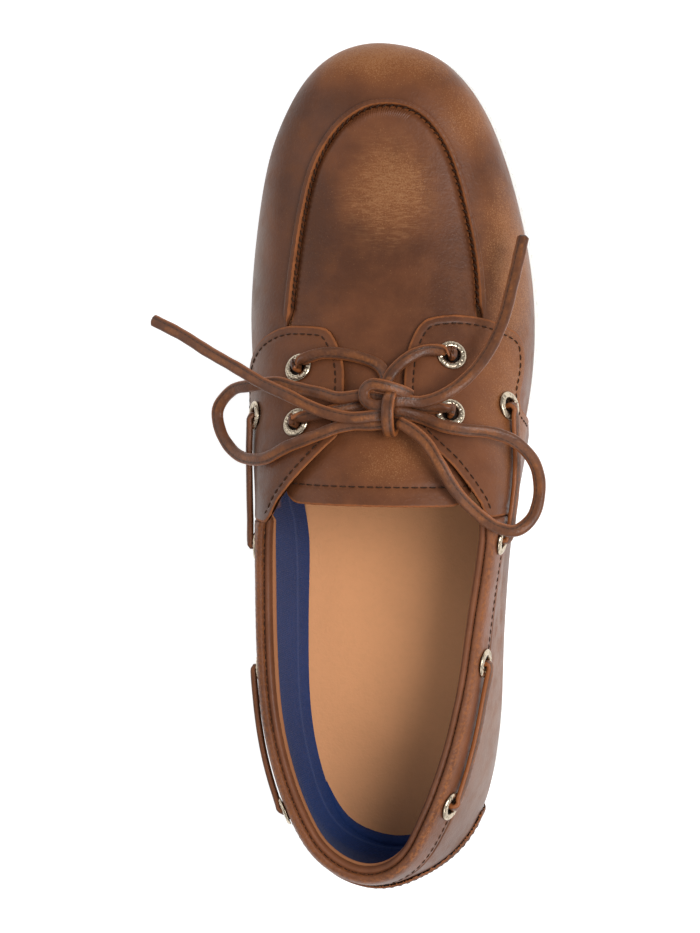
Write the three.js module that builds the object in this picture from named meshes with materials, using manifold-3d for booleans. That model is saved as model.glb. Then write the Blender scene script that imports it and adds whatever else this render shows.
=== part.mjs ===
// Right boat shoe with a moccasin toe and a lace that runs round the collar.
// Millimetres, +Y to the toe, +X to the outer side, +Z up, the sole on z = 0.
import * as THREE from 'three';
import Module from 'manifold-3d';

const wasm = await Module();
wasm.setup();

// Driving sizes
const LENGTH = 296;
const BALL_WIDTH = 102;
const INSTEP = 62;
const HEEL_HEIGHT = 80;
const WALL = 2.0;
const LEATHER = 1.6;
const GAP = 0.3;
const LAY = 0.68;
const RIM_HEIGHT = 1.4;
const RIM_WIDTH = 0.035;
const INSOLE = 2.5;
const FLANGE_FILL = 2.3;
const COLLAR_BAND = 13;
const COLLAR_HOOK = 7;
const LACE_WIDE = 4.2;
const LACE_THICK = 2.4;
const CENTRE_X = 1.3;
const CENTRE_Y = 1.4;

// Half widths are shares of the ball width, heights shares of the instep above the footbed,
// full* the roundness exponents, lean* the inward slope of the wall, edge* the seam or opening.
const SECTION_COLUMNS = ['station', 'inner', 'outer', 'bulgeIn', 'bulgeOut', 'crest', 'tuck', 'spine',
  'fullSide', 'fullTop', 'leanIn', 'leanOut', 'edgeIn', 'edgeOut'];
const SECTIONS = [
  [0.000, 0.000, 0.000, 0.237, 0.237, 1.431, 5.0, 0.140, 2.5, 2.3, 0.08, 0.08, 0.330, 0.330],
  [0.022, 0.211, 0.176, 0.255, 0.239, 1.432, 5.0, 0.140, 2.5, 2.3, 0.30, 0.16, 0.330, 0.330],
  [0.065, 0.294, 0.275, 0.307, 0.242, 1.420, 5.0, 0.145, 2.4, 2.3, 0.33, 0.32, 0.330, 0.330],
  [0.120, 0.345, 0.331, 0.378, 0.249, 1.378, 5.0, 0.160, 2.3, 2.3, 0.20, 0.28, 0.330, 0.330],
  [0.200, 0.387, 0.356, 0.455, 0.261, 1.342, 6.0, 0.210, 2.3, 2.3, 0.06, 0.08, 0.330, 0.330],
  [0.290, 0.393, 0.363, 0.508, 0.315, 1.331, 7.0, 0.290, 2.3, 2.3, -0.05, -0.12, 0.330, 0.330],
  [0.380, 0.394, 0.370, 0.533, 0.372, 1.340, 7.0, 0.380, 2.4, 2.3, -0.07, -0.33, 0.360, 0.360],
  [0.460, 0.415, 0.397, 0.449, 0.353, 1.288, 6.5, 0.460, 2.4, 2.2, -0.04, -0.50, 0.500, 0.440],
  [0.530, 0.463, 0.429, 0.330, 0.265, 1.168, 5.5, 0.530, 2.4, 2.1, 0.00, -0.30, 0.600, 0.500],
  [0.600, 0.509, 0.461, 0.229, 0.197, 0.987, 5.0, 0.600, 2.4, 2.0, 0.00, -0.08, 0.620, 0.500],
  [0.670, 0.536, 0.465, 0.188, 0.172, 0.817, 4.5, 0.670, 2.4, 2.0, 0.00, 0.00, 0.625, 0.487],
  [0.740, 0.528, 0.445, 0.169, 0.169, 0.685, 4.5, 0.735, 2.4, 2.0, 0.00, 0.00, 0.629, 0.490],
  [0.810, 0.501, 0.401, 0.168, 0.168, 0.587, 4.5, 0.795, 2.4, 2.1, 0.00, 0.00, 0.643, 0.522],
  [0.870, 0.464, 0.349, 0.157, 0.157, 0.528, 4.5, 0.835, 2.4, 2.2, 0.00, 0.00, 0.670, 0.537],
  [0.920, 0.397, 0.290, 0.156, 0.156, 0.479, 4.5, 0.855, 2.4, 2.2, 0.00, 0.00, 0.715, 0.585],
  [0.960, 0.322, 0.206, 0.140, 0.140, 0.446, 4.5, 0.862, 2.4, 2.2, 0.00, 0.00, 0.745, 0.637],
  [0.988, 0.217, 0.102, 0.129, 0.129, 0.419, 4.5, 0.865, 2.4, 2.2, 0.00, 0.00, 0.758, 0.700],
  [1.000, 0.079, -0.079, 0.116, 0.116, 0.406, 4.5, 0.866, 2.4, 2.2, 0.00, 0.00, 0.738, 0.738],
];
// station, height of the footbed
const FOOTBED = [[0, 21], [0.15, 20], [0.3, 18], [0.42, 13], [0.55, 10], [0.7, 9], [0.82, 10.5], [0.92, 14], [1, 18.5]];
// station, height of the sole's underside
const TREAD = [[0, 1.2], [0.035, 0], [0.3, 0], [0.317, 3.2], [0.46, 2.2], [0.52, 0], [0.77, 0], [0.86, 1.8],
  [0.93, 5], [1, 10]];
// station, height of the collar's edge as a share of its height at the heel
const TOPLINE = [[0, 1], [0.05, 0.988], [0.12, 0.944], [0.2, 0.894], [0.28, 0.863], [0.36, 0.863],
  [0.42, 0.888], [0.47, 0.938]];
// station, sideways place of the crest
const CREST = [[0.14, 0], [0.4, 0], [0.6, -1.5], [0.72, -3], [0.866, -4.5]];

// Rows from the heel's back, run round the outer side to the toe and back along the inner side.
const ROWS = SECTIONS.length;
const TURN = 2 * ROWS - 2;
const COLLAR_END = { outer: 6.9, inner: 6.75 };
const THROAT = 10;
const SIDES = ['outer', 'inner'];

// A monotone cubic through the rows of a two-column table.
function curve(table, x) {
  const n = table.length;
  const at = Math.min(Math.max(x, table[0][0]), table[n - 1][0]);
  let i = 0;
  while (i < n - 2 && at > table[i + 1][0]) i += 1;
  const slope = (k) => (table[k + 1][1] - table[k][1]) / (table[k + 1][0] - table[k][0]);
  const tangent = (k) => {
    if (k === 0) return slope(0);
    if (k === n - 1) return slope(n - 2);
    const [p, q] = [slope(k - 1), slope(k)];
    return p * q <= 0 ? 0 : (2 * p * q) / (p + q);
  };
  const h = table[i + 1][0] - table[i][0];
  const f = (at - table[i][0]) / h;
  const [m0, m1] = [tangent(i) * h, tangent(i + 1) * h];
  return (2 * f ** 3 - 3 * f ** 2 + 1) * table[i][1] + (f ** 3 - 2 * f ** 2 + f) * m0
    + (3 * f ** 2 - 2 * f ** 3) * table[i + 1][1] + (f ** 3 - f ** 2) * m1;
}

const clamp = (x, lo, hi) => Math.min(Math.max(x, lo), hi);
const mix = (p, q, f) => p + (q - p) * f;
const ease = (x) => {
  const f = clamp(x, 0, 1);
  return f * f * (3 - 2 * f);
};
const footbed = (s) => curve(FOOTBED, s);
const tread = (s) => curve(TREAD, s);
const topline = (s) => HEEL_HEIGHT * curve(TOPLINE, s);

// One control row of the ring for a section and a side.
function control(row, side) {
  const c = Object.fromEntries(SECTION_COLUMNS.map((name, k) => [name, row[k]]));
  const bed = footbed(c.station) + GAP;
  const outer = side === 'outer';
  return {
    x: (outer ? c.outer : -c.inner) * BALL_WIDTH,
    y: (c.station - 0.5) * LENGTH,
    bulge: bed + (outer ? c.bulgeOut : c.bulgeIn) * INSTEP,
    crest: bed + c.crest * INSTEP,
    tuck: c.tuck,
    spine: c.spine,
    fullSide: c.fullSide,
    fullTop: c.fullTop,
    lean: outer ? c.leanOut : c.leanIn,
    edge: outer ? c.edgeOut : c.edgeIn,
  };
}

const RING = [];
for (let k = 0; k < ROWS; k += 1) RING.push(control(SECTIONS[k], 'outer'));
for (let k = ROWS - 2; k > 0; k -= 1) RING.push(control(SECTIONS[k], 'inner'));
const RING_KEYS = Object.keys(RING[0]);

// The ring's values at parameter a, by a closed uniform cubic B-spline over the control rows.
function ring(a) {
  const i = Math.floor(a);
  const f = a - i;
  const w = [(1 - f) ** 3 / 6, (3 * f ** 3 - 6 * f ** 2 + 4) / 6, (-3 * f ** 3 + 3 * f ** 2 + 3 * f + 1) / 6, f ** 3 / 6];
  const out = {};
  for (const key of RING_KEYS) {
    out[key] = w.reduce((sum, wk, k) => sum + wk * RING[(((i + k - 1) % TURN) + TURN) % TURN][key], 0);
  }
  const qx = curve(CREST, out.spine);
  const qy = (out.spine - 0.5) * LENGTH;
  out.station = out.y / LENGTH + 0.5;
  out.reach = Math.hypot(out.x - qx, out.y - qy);
  out.q = [qx, qy];
  out.dir = [(out.x - qx) / out.reach, (out.y - qy) / out.reach];
  out.bed = footbed((out.y - out.dir[1] * out.tuck) / LENGTH + 0.5) + GAP;
  return out;
}

// Distance from the spine and height of the wall at t: -1 under the foot, 0 the bulge, 1 the crest.
function profile(c, t) {
  if (t < 0) {
    const turn = (t * Math.PI) / 2;
    const under = Math.max(Math.cos(turn), 0) ** 0.45;
    return [c.reach - c.tuck * (1 - under), c.bulge + (c.bulge - c.bed) * Math.sin(turn)];
  }
  const turn = (Math.min(t, 1) * Math.PI) / 2;
  const round = Math.max(Math.cos(turn), 0) ** (2 / c.fullSide);
  return [
    c.reach * (1 - c.lean * Math.sin(turn)) * round,
    c.bulge + (c.crest - c.bulge) * Math.sin(turn) ** (2 / c.fullTop),
  ];
}

// A point of the last, moved out by offset along the normal of the wall's own profile.
function last(a, t, offset = 0) {
  const c = ring(a);
  const [r, z] = profile(c, t);
  const step = 0.004;
  const [r0, z0] = profile(c, Math.max(t - step, -1));
  const [r1, z1] = profile(c, Math.min(t + step, 1));
  const long = Math.hypot(r1 - r0, z1 - z0);
  const flat = t > 0.999;
  const out = flat ? 0 : (z1 - z0) / long;
  const up = flat ? 1 : (r0 - r1) / long;
  const reach = r + offset * out;
  return [
    c.q[0] + c.dir[0] * reach + CENTRE_X,
    c.q[1] + c.dir[1] * reach + CENTRE_Y,
    z + offset * up,
  ];
}

// The t at which the wall at a reaches the height z.
function levelT(a, z) {
  const c = ring(a);
  let [lo, hi] = [-1, 1];
  for (let k = 0; k < 40; k += 1) {
    const mid = (lo + hi) / 2;
    if (profile(c, mid)[1] < z) lo = mid;
    else hi = mid;
  }
  return (lo + hi) / 2;
}

const fromHeel = (a) => Math.min(((a % TURN) + TURN) % TURN, TURN - (((a % TURN) + TURN) % TURN));
const onSide = (side, a) => (side === 'outer' ? a : TURN - a);
const dropT = (a, drop) => levelT(a, topline(ring(a).station) - drop);

// The upper edge of the wall: the collar at the back, the seam line beside tongue and toe.
function edgeT(a) {
  const along = ease((fromHeel(a) - 6.98) / 0.9);
  return mix(along < 1 ? dropT(a, COLLAR_HOOK) : 0, ring(a).edge, along);
}

// Columns round the ring, closer together at the heel and toe, with any extra stations asked for.
function columns(ends, middle, extra = []) {
  const out = new Set();
  for (let a = 0; a < TURN; a += 1) {
    const near = Math.min(fromHeel(a), fromHeel(a + 1));
    const count = near < 3 || near >= 13 ? ends : middle;
    for (let k = 0; k < count; k += 1) out.add(a + k / count);
  }
  for (const a of extra) {
    out.add(a);
    out.add(TURN - a);
  }
  return [...out].sort((p, q) => p - q);
}

const keyOf = (p) => p.map((v) => Math.round(v * 2000)).join(',');

// Joins equal points, drops flat faces and turns the body outward.
function bodyOf(points, faces) {
  const index = new Map();
  const place = points.map((p) => {
    const key = keyOf(p);
    if (!index.has(key)) index.set(key, index.size);
    return index.get(key);
  });
  const verts = [];
  points.forEach((p, k) => { verts[place[k]] = p; });
  let tris = faces.map((f) => f.map((k) => place[k]));
  tris = tris.filter(([i, j, k]) => i !== j && j !== k && k !== i);
  let volume = 0;
  for (const [i, j, k] of tris) {
    const [p, q, r] = [verts[i], verts[j], verts[k]];
    volume += p[0] * (q[1] * r[2] - q[2] * r[1]) + p[1] * (q[2] * r[0] - q[0] * r[2]) + p[2] * (q[0] * r[1] - q[1] * r[0]);
  }
  if (volume < 0) tris = tris.map(([i, j, k]) => [i, k, j]);
  return new wasm.Manifold(new wasm.Mesh({
    numProp: 3,
    vertProperties: new Float32Array(verts.flat()),
    triVerts: new Uint32Array(tris.flat()),
  }));
}

// Closes the space between two grids of the same shape; cells(i, j) says which squares are there.
function thicken(outer, inner, closed, cells = () => true) {
  const [nu, nv] = [outer.length, outer[0].length];
  const points = [...outer.flat(), ...inner.flat()];
  const half = nu * nv;
  const faces = [];
  const at = (i, j) => (i % nu) * nv + j;
  for (let i = 0; i < (closed ? nu : nu - 1); i += 1) {
    for (let j = 0; j < nv - 1; j += 1) {
      if (!cells(i, j)) continue;
      faces.push([at(i, j), at(i + 1, j), at(i + 1, j + 1)], [at(i, j), at(i + 1, j + 1), at(i, j + 1)]);
    }
  }
  const keys = points.map(keyOf);
  const live = faces.filter(([i, j, k]) => keys[i] !== keys[j] && keys[j] !== keys[k] && keys[k] !== keys[i]);
  const edges = new Map();
  for (const [i, j, k] of live) {
    for (const [p, q] of [[i, j], [j, k], [k, i]]) {
      const twin = `${keys[q]}|${keys[p]}`;
      if (edges.has(twin)) edges.delete(twin);
      else edges.set(`${keys[p]}|${keys[q]}`, [p, q]);
    }
  }
  const shell = [...live, ...live.map(([i, j, k]) => [i + half, k + half, j + half])];
  for (const [p, q] of edges.values()) shell.push([q, p, p + half], [q, p + half, q + half]);
  return bodyOf(points, shell);
}

// Joins closed loops of points into a skin, capped at both ends by a given fill or by fans round a middle point.
function skin(loops, first, end, fill) {
  const n = loops[0].length;
  const points = loops.flat();
  const faces = [];
  for (let i = 0; i < loops.length - 1; i += 1) {
    for (let j = 0; j < n; j += 1) {
      const [p, q] = [i * n + j, i * n + ((j + 1) % n)];
      faces.push([p, q, q + n], [p, q + n, p + n]);
    }
  }
  const cap = (middle, base, flip) => {
    if (fill) {
      fill.forEach(([p, q, r]) => faces.push(flip ? [base + r, base + q, base + p] : [base + p, base + q, base + r]));
      return;
    }
    points.push(middle);
    const m = points.length - 1;
    for (let j = 0; j < n; j += 1) {
      const [p, q] = [base + j, base + ((j + 1) % n)];
      faces.push(flip ? [m, q, p] : [m, p, q]);
    }
  };
  cap(first, 0, true);
  cap(end, (loops.length - 1) * n, false);
  return bodyOf(points, faces);
}

// Triangles that fill a section's outline, each turned the way its outline runs.
function fillOf(section) {
  const outline = section.map(([x, y]) => new THREE.Vector2(x, y));
  const turn = (ids) => Math.sign(THREE.ShapeUtils.area(ids.map((k) => outline[k])));
  const way = turn(outline.map((_, k) => k));
  const inside = THREE.ShapeUtils.triangulateShape(outline.slice(), []);
  return inside.map((ids) => (turn(ids) === way ? ids : [...ids].reverse()));
}

// t of the wall's lower rows, those above 0 as shares of the edge's t
const WALL_ROWS = [-1, -0.93, -0.72, -0.38, 0, 0.36, 0.72];

// The hollow upper: toe crown, moccasin seam rim, side walls and the flange under the foot.
function upper() {
  const cols = columns(2, 2);
  const lower = WALL_ROWS;
  const seamRow = lower.length + 1;
  const rows = (a) => {
    const e = edgeT(a);
    const rim = RIM_HEIGHT * ease((fromHeel(a) - 10.35) / 0.4);
    const list = lower.map((f) => [f > 0 ? f * e : f, 0]);
    const foot = rim > 0 ? 0.006 : 0;
    list.push([e - foot, 0], [e, rim], [e + RIM_WIDTH - foot, rim], [e + RIM_WIDTH, 0]);
    for (const f of [0.5, 1]) list.push([mix(e + RIM_WIDTH, 1, f), 0]);
    return list;
  };
  const outer = cols.map((a) => rows(a).map(([t, lift]) => last(a, t, lift)));
  const inner = cols.map((a) => rows(a).map(([t]) => last(a, t, -WALL)));
  const crown = (i) => {
    const next = i + 1 < cols.length ? cols[i + 1] : TURN;
    return cols[i] >= THROAT && next <= TURN - THROAT;
  };
  return thicken(outer, inner, true, (i, j) => j < seamRow || crown(i));
}

// The tongue: the plug's level carried back between the eyestays, with a free rear end.
function tongue() {
  // ring place, edge on the inner side, edge on the outer side, depth below the last
  const rows = [[9.93, 0.66, 0.53, 0.1], [9.5, 0.66, 0.54, 0.3], [9, 0.66, 0.54, 0.5], [8.5, 0.655, 0.54, 0.6],
    [8, 0.62, 0.545, 0.6], [7.5, 0.6, 0.545, 0.6], [7.17, 0.63, 0.59, 0.6], [7.12, 0.7, 0.67, 0.6]];
  const across = [0, 0.22, 0.45, 0.68, 0.86, 1];
  const line = ([a, tIn, tOut, depth], more) => {
    const inner = across.map((f) => last(TURN - a, mix(tIn, 1, f), -depth - more));
    const outer = across.slice(0, -1).reverse().map((f) => last(a, mix(tOut, 1, f), -depth - more));
    return [...inner, ...outer];
  };
  return thicken(rows.map((r) => line(r, 0)), rows.map((r) => line(r, WALL)), false);
}

// The insole lies on the upper's flange, inside its wall, with both faces run in to the spine.
function insole() {
  const cols = columns(2, 2);
  const loop = (rise, into) => cols.map((a) => {
    const c = ring(a);
    const p = last(a, levelT(a, c.bed + rise), -WALL - LAY);
    const x = mix(p[0], c.q[0] + CENTRE_X, into);
    const y = mix(p[1], c.q[1] + CENTRE_Y, into);
    return [x, y, footbed((y - CENTRE_Y) / LENGTH + 0.5) + GAP + rise];
  });
  const [low, high] = [FLANGE_FILL + GAP, FLANGE_FILL + GAP + INSOLE];
  return zipped([loop(high, 1), loop(high, 0), loop(low, 0), loop(low, 1)]);
}

// Loops whose first and last one lie folded on a line, so that they close by themselves.
function zipped(loops) {
  const n = loops[0].length;
  const points = loops.flat();
  const faces = [];
  for (let i = 0; i < loops.length - 1; i += 1) {
    for (let j = 0; j < n; j += 1) {
      const [p, q] = [i * n + j, i * n + ((j + 1) % n)];
      faces.push([p, q, q + n], [p, q + n, p + n]);
    }
  }
  return bodyOf(points, faces);
}

// The outsole: welt, side groove, heel with its breast, flat forefoot and toe spring.
function outsole() {
  const extra = [5.1, 5.29];
  const cols = columns(2, 2, extra);
  // inset from the edge, height of the point: from the welt's top (1) to the tread (0), and a drop
  const side = [[0.2, 1, 0], [0, 1, -3.4], [0.9, 1, -4.1], [0.1, 1, -4.8], [0.3, 0, 1.3], [1.6, 0, 0]];
  const loop = (inset, level, rise, fixed) => cols.map((a) => {
    const c = ring(a);
    const reach = fixed === undefined ? c.reach - c.tuck + 3.6 - inset : mix(c.reach - c.tuck - 0.6, 0, fixed);
    const x = c.q[0] + c.dir[0] * reach;
    const y = c.q[1] + c.dir[1] * reach;
    const s = y / LENGTH + 0.5;
    return [x + CENTRE_X, y + CENTRE_Y, (level ? footbed(s) : tread(s)) + rise];
  });
  const loops = [loop(0, 1, FLANGE_FILL, 1), loop(0, 1, FLANGE_FILL, 0), loop(0, 1, 0, 0)];
  for (const [inset, level, rise] of side) loops.push(loop(inset, level, rise));
  loops.push(loop(0, 0, 0, 0.12), loop(0, 0, 0, 1));
  return zipped(loops);
}

// The t at which a sheet of leather ends just above the sole.
function floorT(a, offset) {
  const stop = ring(a).bed + 0.5;
  let [lo, hi] = [-1, 0];
  for (let k = 0; k < 24; k += 1) {
    const mid = (lo + hi) / 2;
    if (last(a, mid, offset)[2] < stop) lo = mid;
    else hi = mid;
  }
  return hi;
}

// A sheet of leather on the last; each row has a place and the t of its low and high edge.
function sheet(side, rows, offset) {
  const line = ([place, tLow, tHigh], off) => {
    const a = onSide(side, place);
    const low = Math.max(tLow, floorT(a, offset + LEATHER));
    const edge = edgeT(a);
    const wall = WALL_ROWS.slice(3).map((f) => (f > 0 ? f * edge : f));
    const bend = Math.min(edge, tHigh);
    return [low, ...wall, bend, mix(bend, tHigh, 0.5), tHigh].map((t) => last(a, clamp(t, low, tHigh), off));
  };
  return thicken(rows.map((r) => line(r, offset + LEATHER)), rows.map((r) => line(r, offset)), false);
}

// Front edge, eyestay and flare of each quarter: place from the heel, t of the low and high edge.
const EYESTAY = {
  outer: [[10.1, 0.56, 0.72], [10.0, 0.42, 0.815], [9.82, 0.275, 0.845], [9.5, 0.225, 0.868], [9, 0.21, 0.872],
    [8.5, 0.12, 0.86], [8.25, -0.05, 0.815], [8, -0.38, 0.745], [7.75, -0.75, 0.68], [7.5, -0.93, 0.62],
    [7.2, -0.93, 0.545], [6.94, -0.93, 0.462]],
  inner: [[9.94, 0.66, 0.79], [9.82, 0.56, 0.885], [9.66, 0.45, 0.905], [9.5, 0.38, 0.92], [9, 0.26, 0.944],
    [8.5, 0.12, 0.945], [8.2, -0.1, 0.935], [8, -0.38, 0.88], [7.75, -0.75, 0.81], [7.5, -0.93, 0.735],
    [7.2, -0.93, 0.64], [6.79, -0.93, 0.49]],
};

function quarter(side) {
  const rows = [...EYESTAY[side]];
  const end = COLLAR_END[side];
  for (const a of [end + 0.02, 6.5, 6, 5.5, 5, 4.5, 4, 3.5, 3, 2.5, 2, 1.5, 1, 0.5, 0.03]) {
    rows.push([a, -0.93, dropT(onSide(side, a), COLLAR_BAND + 0.6)]);
  }
  return sheet(side, rows, LAY);
}

// The collar: a flat band outside the wall, rolled over its edge and down inside.
const COLLAR_SECTION = [[0.65, -13], [2.25, -13], [2.2, -3], [1.5, -0.8], [0.1, -0.1], [-1.0, -0.6], [-2.1, -0.1],
  [-3.6, -1], [-4.1, -3], [-3.4, -5.6], [0.65, -6.45]];

function collar() {
  const count = 34;
  const loops = [];
  for (let k = 0; k <= count; k += 1) {
    const a = mix(-COLLAR_END.inner, COLLAR_END.outer, k / count);
    const at = ((a % TURN) + TURN) % TURN;
    const top = topline(ring(at).station);
    loops.push(COLLAR_SECTION.map(([offset, rise]) => last(at, levelT(at, top + rise), offset)));
  }
  return skin(loops, null, null, fillOf(COLLAR_SECTION));
}

// The heel patch over the ends of both quarters, its upper edge hollow: place from the back, t of the edge.
const PATCH_EDGE = [[0, 0.2], [0.5, 0.19], [0.8, 0.16], [1, 0.1], [1.25, 0.045], [1.5, 0.02], [2, -0.01], [2.35, -0.1]];

function heelPatch() {
  const places = PATCH_EDGE.map(([a]) => a);
  const all = [...places.slice(1).reverse().map((a) => -a), ...places];
  const rows = all.map((a) => [a + TURN, -0.9, curve(PATCH_EDGE, Math.abs(a))]);
  return sheet('outer', rows, LAY + 0.45 + LEATHER);
}

// Eyelets: side, place from the heel, t of the centre or drop below the collar's edge.
const EYELETS = [
  { name: 'eyelet_front_outer', side: 'outer', a: 9.49, t: 0.681 },
  { name: 'eyelet_front_inner', side: 'inner', a: 9.26, t: 0.746 },
  { name: 'eyelet_rear_outer', side: 'outer', a: 8.58, t: 0.692 },
  { name: 'eyelet_rear_inner', side: 'inner', a: 8.39, t: 0.746 },
  { name: 'eyelet_side1_outer', side: 'outer', a: 8.64, t: 0.371 },
  { name: 'eyelet_side1_inner', side: 'inner', a: 8.42, t: 0.398 },
  { name: 'eyelet_side2_outer', side: 'outer', a: 6.55, drop: 7.5 },
  { name: 'eyelet_side2_inner', side: 'inner', a: 6.35, drop: 7.5 },
  { name: 'eyelet_side3_outer', side: 'outer', a: 4.87, drop: 7.5 },
  { name: 'eyelet_side3_inner', side: 'inner', a: 4.7, drop: 7.5 },
  { name: 'eyelet_side4_outer', side: 'outer', a: 2.75, drop: 7.8 },
  { name: 'eyelet_side4_inner', side: 'inner', a: 2.5, drop: 7.8 },
];
const EYELET_HOLE = 2.85;
const EYELET_BARREL = 3.35;
const EYELET_FLANGE = 5.1;
const EYELET_RISE = 0.8;

// Centre and outward normal of an eyelet on the leather's outer face.
function seat(e) {
  const a = onSide(e.side, e.a);
  const t = e.t === undefined ? dropT(a, e.drop) : e.t;
  const off = LAY + LEATHER;
  const vec = (p) => new THREE.Vector3(...p);
  const centre = vec(last(a, t, off));
  const along = vec(last(a + 0.15, t, off)).sub(vec(last(a - 0.15, t, off)));
  const up = vec(last(a, t + 0.03, off)).sub(vec(last(a, t - 0.03, off)));
  return { centre, normal: along.cross(up).normalize() };
}

// A closed round body from a profile of radius and height, set on a seat.
function turned(profilePoints, place, segments) {
  const turn = new THREE.Quaternion().setFromUnitVectors(new THREE.Vector3(0, 0, 1), place.normal);
  const loops = profilePoints.map(([r, h]) => Array.from({ length: segments }, (_, k) => {
    const angle = (2 * Math.PI * k) / segments;
    const p = new THREE.Vector3(r * Math.cos(angle), r * Math.sin(angle), h);
    return p.applyQuaternion(turn).add(place.centre).toArray();
  }));
  return loops;
}

function eyelet(e) {
  const h = GAP;
  const section = [[EYELET_HOLE, -1.5], [EYELET_BARREL, -1.5], [EYELET_BARREL, h], [EYELET_FLANGE, h],
    [EYELET_FLANGE - 0.5, h + EYELET_RISE], [EYELET_HOLE + 0.3, h + EYELET_RISE]];
  const loops = turned([...section, section[0]], seat(e), 10);
  return zipped(loops);
}

function eyeletHole(e) {
  const place = seat(e);
  const loops = turned([[EYELET_BARREL + 0.35, -2.6], [EYELET_BARREL + 0.35, 2.6]], place, 10);
  const middle = (h) => place.centre.clone().addScaledVector(place.normal, h).toArray();
  return skin(loops, middle(-2.6), middle(2.6));
}

// A strand of lace through points, its flat side turned to the given direction at each point.
function strand(points, facing, wide = LACE_WIDE, thick = LACE_THICK, sides = 8, step = 6) {
  const path = new THREE.CatmullRomCurve3(points.map((p) => new THREE.Vector3(...p)), false, 'centripetal');
  const count = Math.max(3, Math.round(path.getLength() / step));
  const normals = new THREE.CatmullRomCurve3(facing.map((p) => new THREE.Vector3(...p)), false, 'catmullrom');
  const loops = [];
  for (let k = 0; k <= count; k += 1) {
    const f = k / count;
    const centre = path.getPointAt(f);
    const tangent = path.getTangentAt(f);
    const across = tangent.clone().cross(normals.getPoint(path.getUtoTmapping(f))).normalize();
    const out = across.clone().cross(tangent).normalize();
    loops.push(Array.from({ length: sides }, (_, j) => {
      const angle = (2 * Math.PI * (j + 0.5)) / sides;
      return centre.clone().addScaledVector(across, (Math.cos(angle) * wide) / 2)
        .addScaledVector(out, (Math.sin(angle) * thick) / 2).toArray();
    }));
  }
  return skin(loops, path.getPointAt(0).toArray(), path.getPointAt(1).toArray());
}

const eyeletNamed = (name) => seat(EYELETS.find((e) => e.name === name));
const lifted = (place, h) => place.centre.clone().addScaledVector(place.normal, h).toArray();

// The lace along the wall from one side eyelet to the next: names, then places with t and stand-off.
const SIDE_RUNS = [
  { name: 'lace_side_front_outer', side: 'outer', from: 'eyelet_side1_outer', to: 'eyelet_side2_outer' },
  { name: 'lace_side_front_inner', side: 'inner', from: 'eyelet_side1_inner', to: 'eyelet_side2_inner' },
  { name: 'lace_side_rear_outer', side: 'outer', from: 'eyelet_side3_outer', to: 'eyelet_side4_outer' },
  { name: 'lace_side_rear_inner', side: 'inner', from: 'eyelet_side3_inner', to: 'eyelet_side4_inner' },
];

function sideRun(run) {
  const [e0, e1] = [run.from, run.to].map((n) => EYELETS.find((e) => e.name === n));
  const [p0, p1] = [seat(e0), seat(e1)];
  const tOf = (e) => (e.t === undefined ? dropT(onSide(run.side, e.a), e.drop) : e.t);
  const inner = [0.2, 0.5, 0.8].map((f) => {
    const a = onSide(run.side, mix(e0.a, e1.a, f));
    return last(a, mix(tOf(e0), tOf(e1), f) - 0.01, LAY + LEATHER + 3.4);
  });
  const ends = (place) => [-1.2, 0.8, 2.6].map((h) => lifted(place, h));
  const points = [...ends(p0), ...inner, ...ends(p1).reverse()];
  const aim = (place, next) => {
    const along = new THREE.Vector3(...next).sub(place.centre).normalize();
    return along.negate().toArray();
  };
  const out = p0.normal.clone().add(p1.normal).normalize().toArray();
  const [first, end] = [aim(p0, inner[0]), aim(p1, inner[2])];
  return strand(points, [first, first, first, out, out, out, end, end, end], 3.6, 2.2, 8, 6);
}

// Height of the last above a plan point between the waist and the toe.
function crownAt(x, y) {
  const [px, py] = [x - CENTRE_X, y - CENTRE_Y];
  const outer = px > curve(CREST, py / LENGTH + 0.5);
  let [lo, hi] = [4, 14];
  for (let k = 0; k < 30; k += 1) {
    const mid = (lo + hi) / 2;
    if (ring(mid).y < py) lo = mid;
    else hi = mid;
  }
  const c = ring(outer ? lo : TURN - lo);
  const reach = Math.abs(px - c.q[0]);
  [lo, hi] = [0, 1];
  for (let k = 0; k < 30; k += 1) {
    const mid = (lo + hi) / 2;
    if (profile(c, mid)[0] > reach) lo = mid;
    else hi = mid;
  }
  return profile(c, lo)[1];
}

// Bars of the lace from the eyelets to the middle: plan point and height over the last.
const over = ([x, y, h]) => [x, y, crownAt(x, y) + h];
const UP = [0, 0, 1];

function crossing() {
  const arm = (front, rear, points) => {
    const [p0, p1] = [eyeletNamed(front), eyeletNamed(rear)];
    const ends = (place) => [-1, 1.2, 3.2].map((h) => lifted(place, h));
    const path = [...ends(p0), ...points.map(over), ...ends(p1).reverse()];
    const tip = (place, point) => new THREE.Vector3(...over(point)).sub(place.centre).normalize().negate().toArray();
    const [first, end] = [tip(p0, points[0]), tip(p1, points[points.length - 1])];
    const facing = [first, first, first, ...points.map(() => UP), end, end, end];
    return strand(path, facing, LACE_WIDE - 0.2, LACE_THICK, 8, 6);
  };
  const one = arm('eyelet_front_inner', 'eyelet_rear_outer',
    [[-16, 41.5, 5.2], [-5, 41, 3.4], [5, 37.5, 2.6], [9, 31, 2.4], [14, 26.5, 4.6], [19, 25, 5.4]]);
  const two = arm('eyelet_front_outer', 'eyelet_rear_inner',
    [[20, 43, 5.0], [14, 40, 5.0], [9.5, 35.5, 3.4], [7, 30, 3.0], [2, 26, 2.8], [-7, 23.5, 4.6], [-13, 22, 5.4]]);
  return one.add(two);
}

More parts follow.
